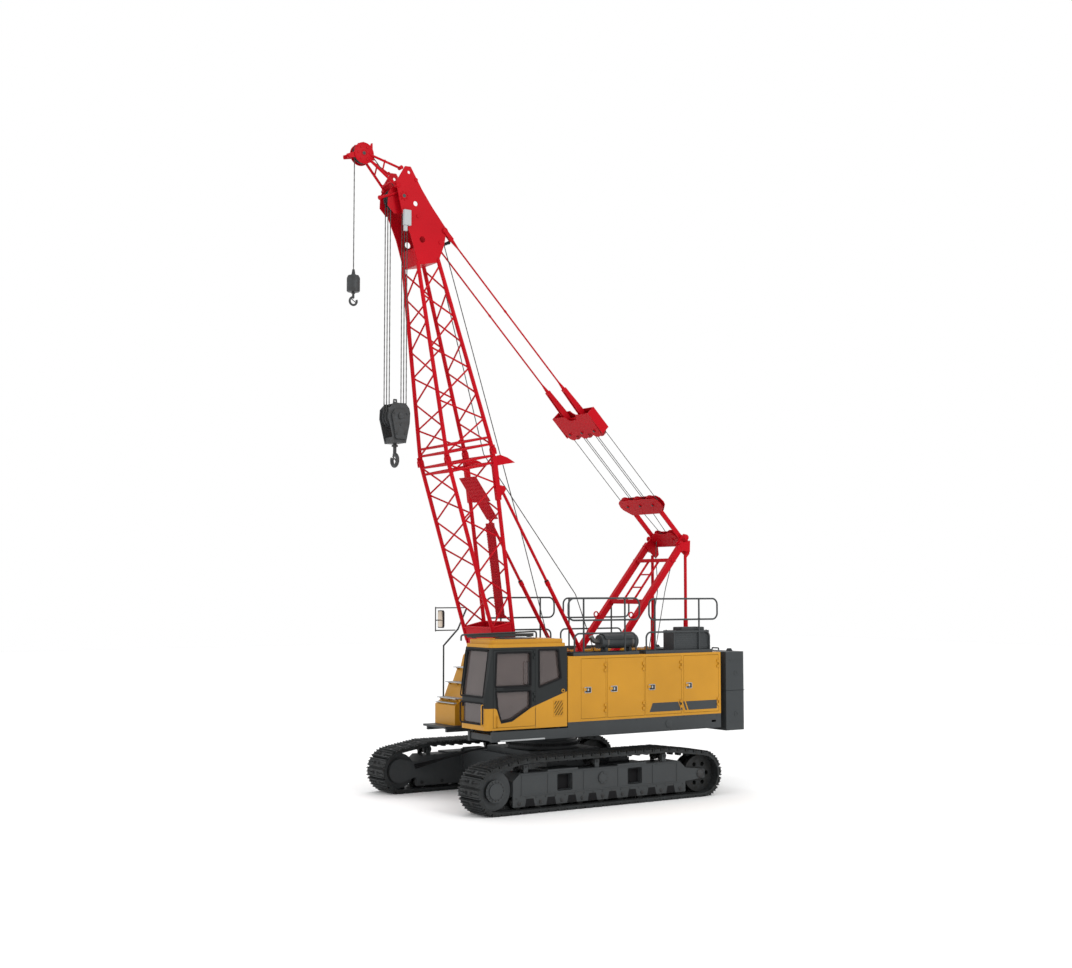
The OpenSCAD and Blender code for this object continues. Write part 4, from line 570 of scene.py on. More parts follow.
# Blocks on the shoes: place(s) + u t + v y + w n, with t along the run, n out of the track, and a narrower top
def shoeBlocks(s, y, size, lift, top=0.6, ground=0.02):
    run, edge = trackLine()
    s = np.asarray(s, float).ravel()
    at = lambda t: np.stack([np.interp(t, run, edge[:, 0]), np.interp(t, run, edge[:, 1])], 1)
    here, ahead = at(s), at(np.minimum(s + 0.01, run[-1])) - at(np.maximum(s - 0.01, 0))
    t = ahead / np.linalg.norm(ahead, axis=1)[:, None]
    here, t = here[here[:, 1] > ground], t[here[:, 1] > ground]
    corner = boxCorners * np.array(size) / 2
    corner[1::2, 0] *= top
    deep = corner[None, :, 2] + lift
    x = here[:, :1] + corner[None, :, 0] * t[:, :1] + deep * t[:, 1:]
    z = here[:, 1:] + corner[None, :, 0] * t[:, 1:] - deep * t[:, :1]
    points = np.stack([x, y + corner[None, :, 1] + 0 * x, z], -1).reshape(-1, 3)
    return points, repeated(boxQuads, len(here), 8)


pitch = trackLine()[0][-1] / track["shoes"]
shoe = np.arange(track["shoes"])[:, None] * pitch
for sideName, s in (("left", 1), ("right", -1)):
    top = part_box("track_" + sideName)[1][2] - 0.002
    places = spots(line(-1.38, 1.58, 16), track["bolts"] + s * track["middle"], top)
    piece({"name": "shoe_bolts_" + sideName, "slot": "track_steel"}, studs(places, up, 0.014, 0.006), trackSteel,
          "undercarriage")
for sideName, s in (("left", 1), ("right", -1)):
    mid = s * track["middle"]
    treads = {"name": "shoe_treads_" + sideName, "slot": "track_steel", "ridge": (0.018, 0.655, 0.026),
              "short": (0.018, 0.18, 0.022), "lug": (0.070, 0.012, 0.022), "end": (0.022, 0.016, 0.030)}
    parts = [shoeBlocks(shoe + pitch * np.array([0.17, 0.83]), mid, treads["ridge"], 0.011)]
    for w in bothSides:
        parts += [shoeBlocks(shoe + pitch * 0.5, mid + w * 0.235, treads["short"], 0.009),
                  shoeBlocks(shoe + pitch * 0.5, mid + w * 0.334, treads["lug"], -0.018, 0.8, -1),
                  shoeBlocks(shoe + pitch * 0.28, mid + w * 0.334, treads["end"], -0.020, 0.8, -1)]
    piece(treads, parts, trackSteel, "undercarriage", smooth=False)
    # Painted shade: flat dark plates on each shoe, standing in for the shade inside its two pits
    pitShade = {"name": "shoe_pit_painted_shade_" + sideName, "slot": "track_steel", "size": (0.058, 0.062, 0.003)}
    parts = [shoeBlocks(shoe + pitch * 0.5, mid + y, pitShade["size"], 0.0005, 1.0) for y in (-0.085, 0.085)]
    piece(pitShade, parts, rubber, "undercarriage", smooth=False)

hubs = {"name": "wheel_hub_bolts", "slot": "grey_paint", "rollers": np.linspace(-1.8, 1.8, 9), "rollerZ": 0.1753}
parts = []
for s in bothSides:
    outer, out = s * track["outer"], (0, s, 0)
    ends = spots(hubs["rollers"], outer, hubs["rollerZ"])
    parts += [studs(circlePlaces((2.29, outer + s * 0.010, 0.42), out, 0.165, 16), out, 0.013, 0.012),
              lathe([(0.085, 0), (0.085, 0.012), (0.07, 0.026), (0.03, 0.03), (0.0001, 0.03)],
                    (-2.29, outer, 0.42), out),
              studs(circlePlaces((-2.29, outer + s * 0.012, 0.42), out, 0.072, 6), out, 0.009, 0.012),
              studs(ends, out, 0.034, 0.014, 20),
              studs(ends + [0, s * 0.012, 0], out, 0.014, 0.008),
              studs(spots(line(-1.86, 1.86, 19), outer, 0.262), out, 0.011, 0.010),
              studs(circlePlaces((-0.007, outer + s * 0.024, 0.5), out, 0.082, 8), out, 0.010, 0.010)]
piece(hubs, parts, boltSteel, "undercarriage")

# Painted shade: flat dark plates on the side frames' outer faces between the track rollers, where the gaps fall in
# shade
rollerGapShade = {"name": "roller_gap_painted_shade", "slot": "track_steel",
           "outline": [(-0.1054, -0.045), (0.1054, -0.045), (0.0744, 0.085), (-0.0744, 0.085)]}
between = (hubs["rollers"][:-1] + hubs["rollers"][1:]) / 2
parts = [plate(rollerGapShade["outline"], (x, s * track["outer"], 0.160), *facing[s], 0.0025)
         for s in bothSides for x in between]
piece(rollerGapShade, parts, rubber, "undercarriage")

frameWindows = {"x": (-0.735, 0.83), "z": 0.485}
# Painted shade: dark plates set in at depth in the side frames' windows, where their insides fall in shade
windowShade = {"name": "frame_window_painted_shade", "slot": "track_steel", "depth": 0.1195}
back = track["outer"] - windowShade["depth"]
parts = [plate(roundOutline(0.296, 0.266, 0.018), (x, s * back, frameWindows["z"]), *facing[s], 0.003)
         for s in bothSides for x in frameWindows["x"]]
piece(windowShade, parts, rubber, "undercarriage")

frameRibs = {"name": "side_frame_seams", "slot": "grey_paint", "upright": (0.016, 0.008, 0.36),
             "long": (3.55, 0.010, 0.022)}
parts = []
for s in bothSides:
    outer = s * (track["outer"] + 0.004)
    parts += [boxes(spots((-1.72, -1.15, -0.35, 0.42, 1.2, 1.75), outer, 0.49), frameRibs["upright"]),
              boxes(spots(0, outer, (0.668, 0.305)), frameRibs["long"])]
    parts += [frameStrip(roundOutline(0.33, 0.30, 0.03), (x, s * track["outer"], frameWindows["z"]),
                         (s, 0, 0), (0, 0, 1), 0.018, 0.010) for x in frameWindows["x"]]
piece(frameRibs, parts, framePaint, "undercarriage", bevel=0.002)

# Slewing ring: a low band with teeth round it, each a box that narrows outwards
ring = {"name": "slewing_ring_teeth", "slot": "grey_paint", "count": 96, "tooth": (0.012, 0.011, 0.024),
        "radius": 0.703, "z": 0.982}
tooth = boxCorners * ring["tooth"]
tooth[4:, 1] *= 0.5
turns = np.linspace(0, 2 * math.pi, ring["count"], endpoint=False)[:, None]
x, y = tooth[:, 0] + ring["radius"], tooth[:, 1]
spun = np.stack([np.cos(turns) * x - np.sin(turns) * y, np.sin(turns) * x + np.cos(turns) * y,
                 tooth[:, 2] + ring["z"] + 0 * turns], -1).reshape(-1, 3)
parts = [lathe([(0.665, 0.0), (0.700, 0.004), (0.700, 0.05), (0.665, 0.054)], (0, 0, 0.955), up, 96),
         (spun, repeated(boxQuads, ring["count"], 8))]
piece(ring, parts, wheelSteel, "undercarriage")

hoses = {"name": "travel_motor_pipes", "slot": "grey_paint", "radius": 0.014}
parts = [tube(bent([(0.55 + 0.05 * k, s * 0.70, 0.86), (0.95 + 0.04 * k, s * 0.95, 0.80),
                    (1.45, s * (1.30 + 0.03 * k), 0.62), (1.98, s * (1.46 + 0.02 * k), 0.46 + 0.03 * k)], 0.12),
              hoses["radius"], side=(0, 0, 1)) for s in bothSides for k in range(3)]
piece(hoses, parts, rubber, "undercarriage")
print("stage: undercarriage")

# Houses, doors and counterweight
houseY = 1.497
latchAt = {"x": 0.158, "z": 2.05}      # behind the door's front edge, and its height
for sideName, s, edges in (("left", 1, (0.159, -0.441, -1.338, -2.244, -3.156)),
                           ("right", -1, (-0.250, -1.200, -2.170, -3.156))):
    for i, (front, rear) in enumerate(zip(edges[:-1], edges[1:])):
        body = "door_%s_%d" % (sideName, i + 1)
        face = s * houseY
        wide, middle = front - rear, (front + rear) / 2
        at = (front - latchAt["x"], face, latchAt["z"])
        fittings = {"name": "house_door_%s_%d_fittings" % (sideName, i + 1), "slot": "black_plastic"}
        piece(fittings, plate(roundOutline(0.124, 0.088, 0.012), at, *facing[s], 0.010, 0.003), plastic, body,
              bevel=0.002)
        parts = [frameStrip(roundOutline(0.150, 0.112, 0.016), at, *facing[s], 0.012, 0.012),
                 boxes([(at[0], face + s * 0.013, 2.055)], (0.030, 0.010, 0.046))]
        piece(dict(fittings, name=fittings["name"] + "_rim", slot="grey_paint"), parts, greyPaint, body,
              bevel=0.002)
        if s < 0 and i in (0, 2):
            louvres = {"name": "house_door_%s_%d_louvres" % (sideName, i + 1), "slot": "yellow_paint", "lean": 38}
            lean = math.radians(louvres["lean"]) * s
            turn = [[1, 0, 0], [0, math.cos(lean), -math.sin(lean)], [0, math.sin(lean), math.cos(lean)]]
            parts = [boxes(spots(middle, face + s * 0.004, line(2.20, 2.50, 9)), (wide * 0.55, 0.022, 0.005), turn),
                     frameStrip(roundOutline(wide * 0.55 + 0.05, 0.37, 0.02), (middle, face - s * 0.001, 2.35),
                                *facing[s], 0.02, 0.008)]
            piece(louvres, parts, yellowPaint, body)

# Blank dark stripes with slanted ends: the door each lies on, and its corners in x and z
stripes = ((3, [(-1.436, 1.580), (-1.512, 1.748), (-2.131, 1.748), (-2.198, 1.580)]),
           (3, [(-2.215, 1.580), (-2.150, 1.748), (-2.197, 1.748), (-2.237, 1.645), (-2.237, 1.580)]),
           (4, [(-2.312, 1.580), (-2.254, 1.730), (-2.254, 1.748), (-2.290, 1.748), (-2.356, 1.580)]),
           (4, [(-2.392, 1.580), (-2.322, 1.748), (-3.100, 1.748), (-3.100, 1.580)]))
for i, (door, corners) in enumerate(stripes):
    piece({"name": "left_house_dark_band_%d" % (i + 1), "slot": "grey_paint"},
          plate(np.array(corners) * [-1, 1], (0, houseY + 0.0002, 0), *facing[1], 0.002), slatePaint,
          "door_left_%d" % door)

roof = {"name": "roof_plates", "slot": "yellow_paint", "plate": (1.5, 0.24, 0.010), "rib": (0.10, 0.012, 0.05)}
parts = []
for s in bothSides:
    parts += [boxes(spots((-0.45, -2.2), s * 0.87, 2.680), roof["plate"]),
              boxes(spots(line(0.3, -3.1, 6), s * 0.735, 2.694), roof["rib"]),
              studs(spots(line(-3.10, 0.36, 26), (s * 0.745, s * 1.012), 2.676), up, 0.010, 0.008)]
piece(roof, parts, yellowPaint, "upperworks", bevel=0.002)

grip = {"name": "roof_grip_mats", "slot": "grey_paint", "pitch": 0.05}
parts = []
for s in bothSides:
    for x0, x1 in ((-1.20, 0.30), (-3.005, -1.385)):
        cells = spots(line(x0 + 0.03, x1 - 0.03, int((x1 - x0) / grip["pitch"])), s * line(1.06, 1.44, 8), 2.6975)
        # Free of the muffler and of the intake box
        taken = (np.abs(cells[:, 0] + 0.90) < 0.55) | (cells[:, 0] < -2.08)
        parts.append(studs(cells[~(taken & (cells[:, 1] > 0))], up, 0.013, 0.004, 4, 0.4))
piece(grip, parts, slatePaint, "upperworks", smooth=False)

silencer = {"y": 1.18, "z": 2.916}
muffler = {"name": "muffler_pipe", "slot": "grey_paint", "radius": 0.045,
           "band": [(0.135, 0.0), (0.137, 0.012), (0.137, 0.028), (0.135, 0.04)]}
tail = bent([(-0.50, 1.18, 2.916), (-0.36, 1.18, 2.93), (-0.30, 1.18, 3.02)], 0.05, 12)
parts = [tube(tail, muffler["radius"], 24)]
parts += [lathe(muffler["band"], (x, silencer["y"], silencer["z"]), forward, 48) for x in (-1.22, -0.64)]
piece(muffler, parts, drumSteel, "upperworks")

# Heat shield: part of a cylinder with r = 0.148 + 0.0025 sin(60 x) sin(22 a)
shield = {"name": "muffler_heat_shield", "slot": "grey_paint", "radius": 0.148, "dimple": 0.0025}
a, x = np.meshgrid(np.radians(np.linspace(20, 160, 24)), np.linspace(-1.28, -0.54, 40))
r = shield["radius"] + shield["dimple"] * np.sin(x * 60) * np.sin(a * 22)
points = np.stack([x, silencer["y"] + r * np.cos(a), silencer["z"] + r * np.sin(a)], -1).reshape(-1, 3)
cover = piece(shield, (points, gridQuads(40, 24, roundCols=False).tolist()), slatePaint, "upperworks")
sheet = cover.modifiers.new("sheet", "SOLIDIFY")
sheet.thickness = 0.004
sheet.offset = 1.0

intake = {"name": "intake_box_fittings", "slot": "grey_paint", "slat": (0.80, 0.012, 0.016)}
parts = [boxes(spots(-2.55, 1.412, line(2.76, 3.06, 9)), intake["slat"]),
         frameStrip(roundOutline(0.56, 0.27, 0.03), (-2.61, 1.245, 3.164), (1, 0, 0), (0, 1, 0), 0.02, 0.006),
         studs(spots((-2.95, -2.15), (1.12, 1.37), 3.106), up, 0.012, 0.01)]
piece(intake, parts, slatePaint, "upperworks", bevel=0.002)

weight = {"name": "counterweight_fittings", "slot": "grey_paint", "strip": (0.34, 0.004, 0.03)}
parts = []
for s in bothSides:
    eye = [(-3.80, s * y, z) for y, z in ((0.55, 2.668), (0.55, 2.715), (0.75, 2.715), (0.75, 2.668))]
    parts += [tube(bent(eye, 0.02), 0.014, side=(1, 0, 0)),
              boxes(spots(-3.60, s * 1.4985, (1.30, 2.50)), weight["strip"])]
    for z in (1.45, 2.25):
        parts += [lathe([(0.055, 0), (0.055, 0.004), (0.035, 0.004), (0.035, -0.006), (0.0001, -0.006)],
                        (-3.861, s * 1.0, z), -forward),
                  lathe([(0.05, 0), (0.05, 0.006), (0.03, 0.006), (0.03, 0.001), (0.0001, 0.001)],
                        (-3.60, s * houseY, z), (0, s, 0))]
piece(weight, parts, weightPaint, "upperworks")

deckBolts = {"name": "deck_bolts", "slot": "grey_paint", "footPin": (0.444, 0.566)}
parts = []
for s in bothSides:
    parts += [studs(spots(line(-3.1, 0.35, 22), s * houseY, (1.235, 1.452)), (0, s, 0), 0.008, 0.007),
              pinHead((-1.9, s * houseY, 1.34), (0, s, 0), 0.075, 0.010, 0.06, 0.014, 32)]
    parts += [pinHead((0.866, s * y, 1.514), (0, s * way, 0), 0.06, 0.010, 0.05, 0.014, 32)
              for way, y in zip(bothSides, deckBolts["footPin"])]
piece(deckBolts, parts, slatePaint, "upperworks")

pipes = {"name": "roof_edge_pipes", "slot": "grey_paint", "radius": 0.016}
parts = [tube(bent([(0.42, 1.06 + k, 2.60), (0.42, 1.06 + k, 2.715), (0.30, 1.06 + k, 2.75), (0.05, 0.96 + k, 2.75),
                    (0.02, 0.80 + k, 2.69)], 0.05), pipes["radius"], side=(0.3, 1, 0.2)) for k in (0.0, 0.05)]
piece(pipes, parts, pipePaint, "upperworks")
print("stage: houses")

# Cab
cabFront = math.atan2(0.12, 0.876)
glassUp = (-math.sin(cabFront), 0, math.cos(cabFront))


# Gasket round a window given by its corners in world x and z, on the plane of y
def sideGasket(corners, y=1.4965, width=0.034, thick=0.010, grow=1.035):
    corners = np.array(corners, float)
    middle = corners.mean(0)
    corners = (corners - middle) * grow
    loop = np.concatenate([corners, corners[:2]])
    path = bent(np.column_stack([loop, np.zeros(len(loop))]), 0.045)[1:-1, :2]
    return frameStrip(path * [-1, 1], (middle[0], y, middle[1]), *facing[1], width, thick)


# Windscreen, lower windscreen, right, rear and quarter windows
gaskets = {"name": "cab_gaskets", "slot": "black_plastic", "width": 0.03, "thick": 0.012, "sideThick": 0.010}
wide, thick, thin = gaskets["width"], gaskets["thick"], gaskets["sideThick"]
parts = [frameStrip(roundOutline(0.80, 0.86, 0.05), (2.1475, 1.0, 2.40), left, glassUp, wide, thick),
         frameStrip(roundOutline(0.80, 0.40, 0.07), (2.2055, 1.0, 1.70), left, up, wide, thick),
         frameStrip(roundOutline(1.44, 0.94, 0.05), (1.318, 0.599, 2.35), forward, up, wide, thin),
         frameStrip(roundOutline(0.68, 0.74, 0.05), (0.467, 1.048, 2.43), -left, up, wide, thin),
         sideGasket([(1.096, 2.815), (0.652, 2.813), (0.592, 2.282), (1.089, 2.130)])]
piece(gaskets, parts, rubber, "upperworks")

doorTrim = {"name": "cab_door_trim", "slot": "black_plastic",
            "upper": [(1.993, 2.780), (1.257, 2.780), (1.257, 2.166), (2.020, 2.166)],
            "lower": [(2.008, 2.098), (1.262, 2.098), (1.262, 1.795), (1.655, 1.580), (1.895, 1.550),
                      (1.973, 1.778)]}
parts = [sideGasket(doorTrim["upper"]), sideGasket(doorTrim["lower"]),
         boxes([(1.64, 1.500, 2.135)], (0.74, 0.010, 0.012))]
piece(doorTrim, parts, rubber, "cab_door_leaf")
doorPaint = {"name": "cab_door_yellow_panel", "slot": "yellow_paint",
             "corners": [(1.171, 1.459), (1.171, 1.811), (1.247, 1.785), (1.663, 1.552), (1.896, 1.525),
                         (1.968, 1.768), (2.024, 1.797), (2.053, 1.797), (2.053, 1.459)]}
piece(doorPaint, plate(np.array(doorPaint["corners"]) * [-1, 1], (0, 1.4965, 0), *facing[1], 0.003), yellowPaint,
      "cab_door_leaf")


# Handle bent out from a face: its two ends and how far it stands out along the axis away
def handle(low, high, away, bend, radius, sides=12, side=(1, 0, 0)):
    low, high, away = np.array(low), np.array(high), np.array(away)
    return tube(bent([low, low + away, high + away, high], bend), radius, sides, side=side)


grab = {"name": "cab_door_handle", "slot": "black_plastic"}
parts = [plate(roundOutline(0.15, 0.05, 0.015), (1.93, 1.4965, 2.132), *facing[1], 0.012, 0.003),
         handle((1.34, 1.497, 2.20), (1.34, 1.497, 2.60), (0, 0.043, 0), 0.03, 0.011, 14)]
piece(grab, parts, plastic, "cab_door_leaf")

lockRing = {"name": "cab_door_lock_ring", "slot": "yellow_paint", "middle": (0.556, 1.500, 2.060)}
loop = np.array(lockRing["middle"]) + around(0.030 * forward, 0.026 * up, 40)
piece(lockRing, tube(loop, 0.008, closed=True), yellowPaint, "upperworks")

# Slanted slats in an upright frame: v = slope u + c, cut off at the frame's inside
slats = {"name": "cab_louvre", "slot": "black_plastic", "middle": (0.658, 1.4972, 1.748), "half": (0.090, 0.128),
         "slope": 1.35, "width": 0.015}
(halfU, halfV), slope = slats["half"], slats["slope"]
aside = np.array([-slope, 1.0]) / math.hypot(slope, 1) * slats["width"] / 2
parts = []
for c in np.linspace(-0.19, 0.19, 6):
    u0, u1 = max(-halfU, (-halfV - c) / slope), min(halfU, (halfV - c) / slope)
    ends = np.array([[u0, slope * u0 + c], [u1, slope * u1 + c]])
    outline = [ends[0] - aside, ends[1] - aside, ends[1] + aside, ends[0] + aside]
    parts.append(plate(outline, slats["middle"], *facing[1], 0.003))
piece(slats, parts, rubber, "upperworks")
louvreFrame = {"name": "cab_louvre_frame", "slot": "yellow_paint"}
piece(louvreFrame, frameStrip(roundOutline(0.215, 0.292, 0.012), slats["middle"], *facing[1], 0.012, 0.008),
      yellowPaint, "upperworks")

seams = {"name": "cab_seams", "slot": "black_plastic"}
parts = [boxes([(1.158, 1.4972, 1.60)], (0.006, 0.002, 0.36)), boxes([(2.196, 1.05, 1.90)], (0.004, 0.72, 0.012))]
piece(seams, parts, plastic, "upperworks")

apronBar = {"name": "cab_apron_bar", "slot": "grey_paint", "size": (0.94, 0.044, 0.026)}
piece(apronBar, boxes([(1.45, 1.514, 1.222)], apronBar["size"]), greyPaint, "upperworks", bevel=0.003)

guard = {"name": "cab_roof_rail", "slot": "grey_paint"}
hoop = bent([(2.20, 0.62, 2.97), (2.20, 0.62, 3.075), (0.56, 0.62, 3.115), (0.56, 0.62, 2.95)], 0.05)
parts = [tube(hoop, 0.016, 14),
         boxes([(1.35, 0.62, 3.055)], (1.45, 0.012, 0.06)),
         boxes(spots((0.75, 1.35, 1.95), 0.66, 3.02), (0.05, 0.10, 0.012))]
piece(guard, parts, slatePaint, "upperworks", bevel=0.002)

roofLid = {"name": "cab_roof_hatch", "slot": "tinted_glass"}
piece(roofLid, plate(roundOutline(0.62, 0.52, 0.08), (1.30, 1.05, 3.000), forward, left, 0.022, 0.008), plastic,
      "upperworks")
roofEdge = {"name": "cab_roof_ribs", "slot": "yellow_paint"}
piece(roofEdge, boxes(spots(1.30, (0.72, 1.38), 3.003), (1.25, 0.03, 0.014)), yellowPaint, "upperworks",
      bevel=0.006)

grabRails = {"name": "cab_front_grab_rail", "slot": "grey_paint", "radius": 0.009}
parts = [handle((2.21, 1.40, 1.50), (2.21, 1.40, 1.86), (0.035, 0, 0), 0.02, grabRails["radius"],
                side=(0, 1, 0.01)),
         handle((1.98, 1.497, 1.47), (1.98, 1.497, 1.66), (0, 0.033, 0), 0.02, grabRails["radius"])]
piece(grabRails, parts, yellowPaint, "upperworks")

# Cab inside: console, levers, pedals, liner
inside = {"name": "cab_interior_trim", "slot": "black_plastic",
          "boxes": (((1.33, 1.05, 1.458), (1.60, 0.76, 0.012)), ((1.95, 0.86, 1.72), (0.16, 0.34, 0.50)),
                    ((1.90, 0.72, 2.05), (0.05, 0.17, 0.14)), ((0.70, 1.05, 1.68), (0.30, 0.72, 0.44)))}
parts = [boxes([at], size) for at, size in inside["boxes"]]
for y in (0.71, 1.39):
    parts += [boxes([(1.15, y, 2.030)], (0.40, 0.075, 0.03)),
              tube(bent([(1.30, y, 2.03), (1.31, y, 2.12), (1.34, y, 2.20)], 0.04), 0.013),
              lathe([(0.0001, -0.035), (0.02, -0.03), (0.027, 0), (0.02, 0.03), (0.0001, 0.035)],
                    (1.345, y, 2.22), up, 20)]
piece(inside, parts, plastic, "upperworks", bevel=0.006)
liner = {"name": "cab_roof_liner", "slot": "seat_cloth"}
piece(liner, plate(roundOutline(1.44, 0.74, 0.05), (1.27, 1.048, 2.858), forward, -left, 0.010), linerCloth,
      "upperworks")

# Seat base and its suspension
seatY = 1.048
seatBase = {"name": "seat_base", "slot": "black_plastic",
            "bellows": [(0.14 + 0.018 * (k % 2), 0.03 * k) for k in range(8)]}
parts = [boxes([(1.08, seatY, 1.475)], (0.40, 0.34, 0.03)), boxes([(1.08, seatY, 1.70)], (0.40, 0.36, 0.03)),
         lathe(seatBase["bellows"], (1.08, seatY, 1.488), up)]
piece(seatBase, parts, plastic, "upperworks", bevel=0.004)


# Cushion: a superellipse block, |x|^n + |y|^n = 1 at each height, crowned by 1 - (x^4 + y^4) / 2 of its crown,
# with sewn channels as narrow bell dips across it, leant back by an angle and set at a place
def cushion(spec, origin, lean=0.0, channels=(), crown=0.03, power=5.0, rows=40):
    u = np.linspace(-1, 1, rows)
    gx, gy = np.meshgrid(u, u, indexing="ij")
    edge = np.maximum(np.abs(gx), np.abs(gy))
    pull = edge / np.maximum((np.abs(gx) ** power + np.abs(gy) ** power) ** (1 / power), 1e-9)
    px, py = gx * pull, gy * pull
    rise = spec["thick"] / 2 + crown * (1 - (px ** 4 + py ** 4) / 2) - crown * 0.5
    rise = rise * (1 - np.clip((edge - 0.86) / 0.14, 0, 1) ** 2 * 0.75)
    for c in channels:
        rise = rise - 0.007 * np.exp(-((px - c) / 0.03) ** 2)
    x, y = px * spec["length"] / 2, py * spec["width"] / 2
    points = np.concatenate([np.stack([x, y, z], -1).reshape(-1, 3) for z in (rise, -rise * 0.85)])
    quads = gridQuads(rows, rows, roundCols=False)
    rim = np.concatenate([np.arange(rows), np.arange(1, rows) * rows + rows - 1,
                          (rows - 1) * rows + np.arange(rows - 2, -1, -1), np.arange(rows - 2, 0, -1) * rows])
    n = rows * rows
    wall = np.stack([rim, np.roll(rim, -1), np.roll(rim, -1) + n, rim + n], 1)
    c, s = math.cos(lean), math.sin(lean)
    turned = points @ np.array([[c, 0, -s], [0, 1, 0], [s, 0, c]]) + np.array(origin)
    return turned, quads[:, ::-1].tolist() + (quads + n).tolist() + wall.tolist()


seatPad = {"name": "seat_cushion", "slot": "seat_cloth", "width": 0.46, "length": 0.46, "thick": 0.11}
pad = piece(seatPad, cushion(seatPad, (1.09, seatY, 1.775), 0.0, (-0.35, 0.35)), seatCloth, "upperworks")
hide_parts("cab_seat")
lean = math.radians(-102)
backPad = {"name": "seat_back_cushion", "slot": "seat_cloth", "width": 0.44, "length": 0.56, "thick": 0.11}
back = piece(backPad, cushion(backPad, (0.850, seatY, 2.10), lean, (-0.3, 0.3)), seatCloth, "upperworks")
headPad = {"name": "seat_headrest", "slot": "seat_cloth", "width": 0.26, "length": 0.16, "thick": 0.09}
head = piece(headPad, cushion(headPad, (0.775, seatY, 2.46), lean, crown=0.02, rows=24), seatCloth, "upperworks")
print("stage: cab")

# Right side: steps, mirror, rails. Each step has its x, height and depth
steps = {"name": "step_treads", "slot": "grey_paint", "width": 0.70, "thick": 0.014,
         "at": ((1.475, 1.722, 0.13), (1.405, 1.809, 0.22), (1.215, 2.099, 0.22), (1.035, 2.379, 0.22))}
parts = []
for x, z, deep in steps["at"]:
    places = spots(line(x - deep / 2 + 0.03, x + deep / 2 - 0.03, 3), line(-1.42, -0.80, 16), z + 0.006)
    parts += [boxes([(x, -1.107, z)], (deep, steps["width"], steps["thick"])),
              studs(places, up, 0.014, 0.005, 4, 0.5)]
piece(steps, parts, greyPaint, "upperworks", smooth=False)
gussets = {"name": "step_gussets", "slot": "yellow_paint",
           "outline": [(0, 0), (0, -0.11), (0.15, -0.012), (0.15, 0)]}
parts = [plate(gussets["outline"], (x, y, z), forward, up, 0.008)
         for x, z in ((1.33, 1.802), (1.14, 2.092), (0.96, 2.372)) for y in (-1.40, -1.10, -0.80)]
piece(gussets, parts, yellowPaint, "upperworks")

mirror = {"name": "mirror_glass", "slot": "tinted_glass"}
piece(mirror, plate(roundOutline(0.17, 0.31, 0.03), (1.4625, -1.417, 3.32), left, up, 0.003, 0.001), mirrorPane,
      "upperworks")
mirrorBack = {"name": "mirror_housing", "slot": "black_plastic"}
piece(mirrorBack, plate(roundOutline(0.205, 0.345, 0.04), (1.4415, -1.417, 3.32), -left, up, 0.02, 0.01), plastic,
      "upperworks")
clamps = {"name": "rail_clamps", "slot": "grey_paint", "railY": 1.437,
          "foot": [(0.028, 0), (0.030, 0.006), (0.030, 0.020), (0.018, 0.026)],
          "knee": [(0.021, 0), (0.024, 0.008), (0.024, 0.03), (0.021, 0.038)]}
parts = []
for s in bothSides:
    for x0, x1 in ((0.260, -1.165), (-1.413, -2.975)):
        posts = (x0 - 0.21, x1 + 0.26)
        parts += [lathe(clamps["foot"], (x, s * clamps["railY"], 2.6968), up, 24) for x in (x0, x1, *posts)]
        parts += [lathe(clamps["knee"], (x, s * clamps["railY"], 3.31), up, 24) for x in posts]
piece(clamps, parts, slatePaint, "upperworks")
print("stage: right side")

# Boom, with its four chords numbered round from the front left
signs = ((1, 1), (-1, 1), (-1, -1), (1, -1))


# Weld collars where lacing meets a chord: short rings round the lacing tube, set back from the chord's axis
def latticeCollars(low, high, panels, radius):
    step = (high - low) / panels
    profile = [(radius, 0.040), (radius + 0.006, 0.046), (radius + 0.004, 0.054), (radius, 0.062)]
    corner = lambda c, z: onBoom(signs[c][0] * float(halfDepth(z)), signs[c][1] * float(halfWidth(z)), z)
    made = []
    for c in range(4):
        for k in range(panels):
            a, b = (c, (c + 1) % 4) if k % 2 == 0 else ((c + 1) % 4, c)
            p, q = corner(a, low + k * step), corner(b, low + (k + 1) * step)
            made += [lathe(profile, p, q - p, 16), lathe(profile, q, p - q, 16)]
    return made


collars = {"name": "boom_base_weld_collars", "slot": "red_paint"}
piece(collars, latticeCollars(1.76, 4.89, 6, 0.0165), redPaint, "boom")
topCollars = {"name": "boom_top_weld_collars", "slot": "red_paint"}
piece(topCollars, latticeCollars(5.11, 8.54, 7, 0.0165), redPaint, "boom")

pinHeads = {"name": "boom_pin_heads", "slot": "grey_paint", "plateY": 0.2905,
            "pins": ((0.258, 9.876, 0.062), (0.335, 10.079, 0.045), (0.200, 10.400, 0.038), (-0.33, 8.96, 0.036),
                     (-0.06, 10.15, 0.036), (0.04, 9.48, 0.036), (-0.470, 9.170, 0.05))}
parts = [pinHead(onBoom(x * 0.5, y * 0.505 + w * 0.046, 5.0), (0, w, 0), 0.033, 0.008, 0.026, 0.014, 24)
         for x, y in signs for w in bothSides]
for s in bothSides:
    parts += [pinHead(onBoom(x, s * pinHeads["plateY"], z), (0, s, 0), r, 0.008, r * 0.8, 0.014)
              for x, z, r in pinHeads["pins"]]
    bolts = onBoom(0.258, s * pinHeads["plateY"], 9.876) + around(boomX, boomZ, 8) * 0.082
    parts.append(studs(bolts, (0, s, 0), 0.010, 0.010))
piece(pinHeads, parts, redPaint, "boom")

headBox = {"name": "head_grey_box", "slot": "grey_paint"}
parts = [boxes([(3.205, 0.325, 10.695)], (0.15, 0.065, 0.29)), boxes([(3.235, 0.318, 10.50)], (0.07, 0.045, 0.11))]
piece(headBox, parts, greyPaint, "boom", bevel=0.01)

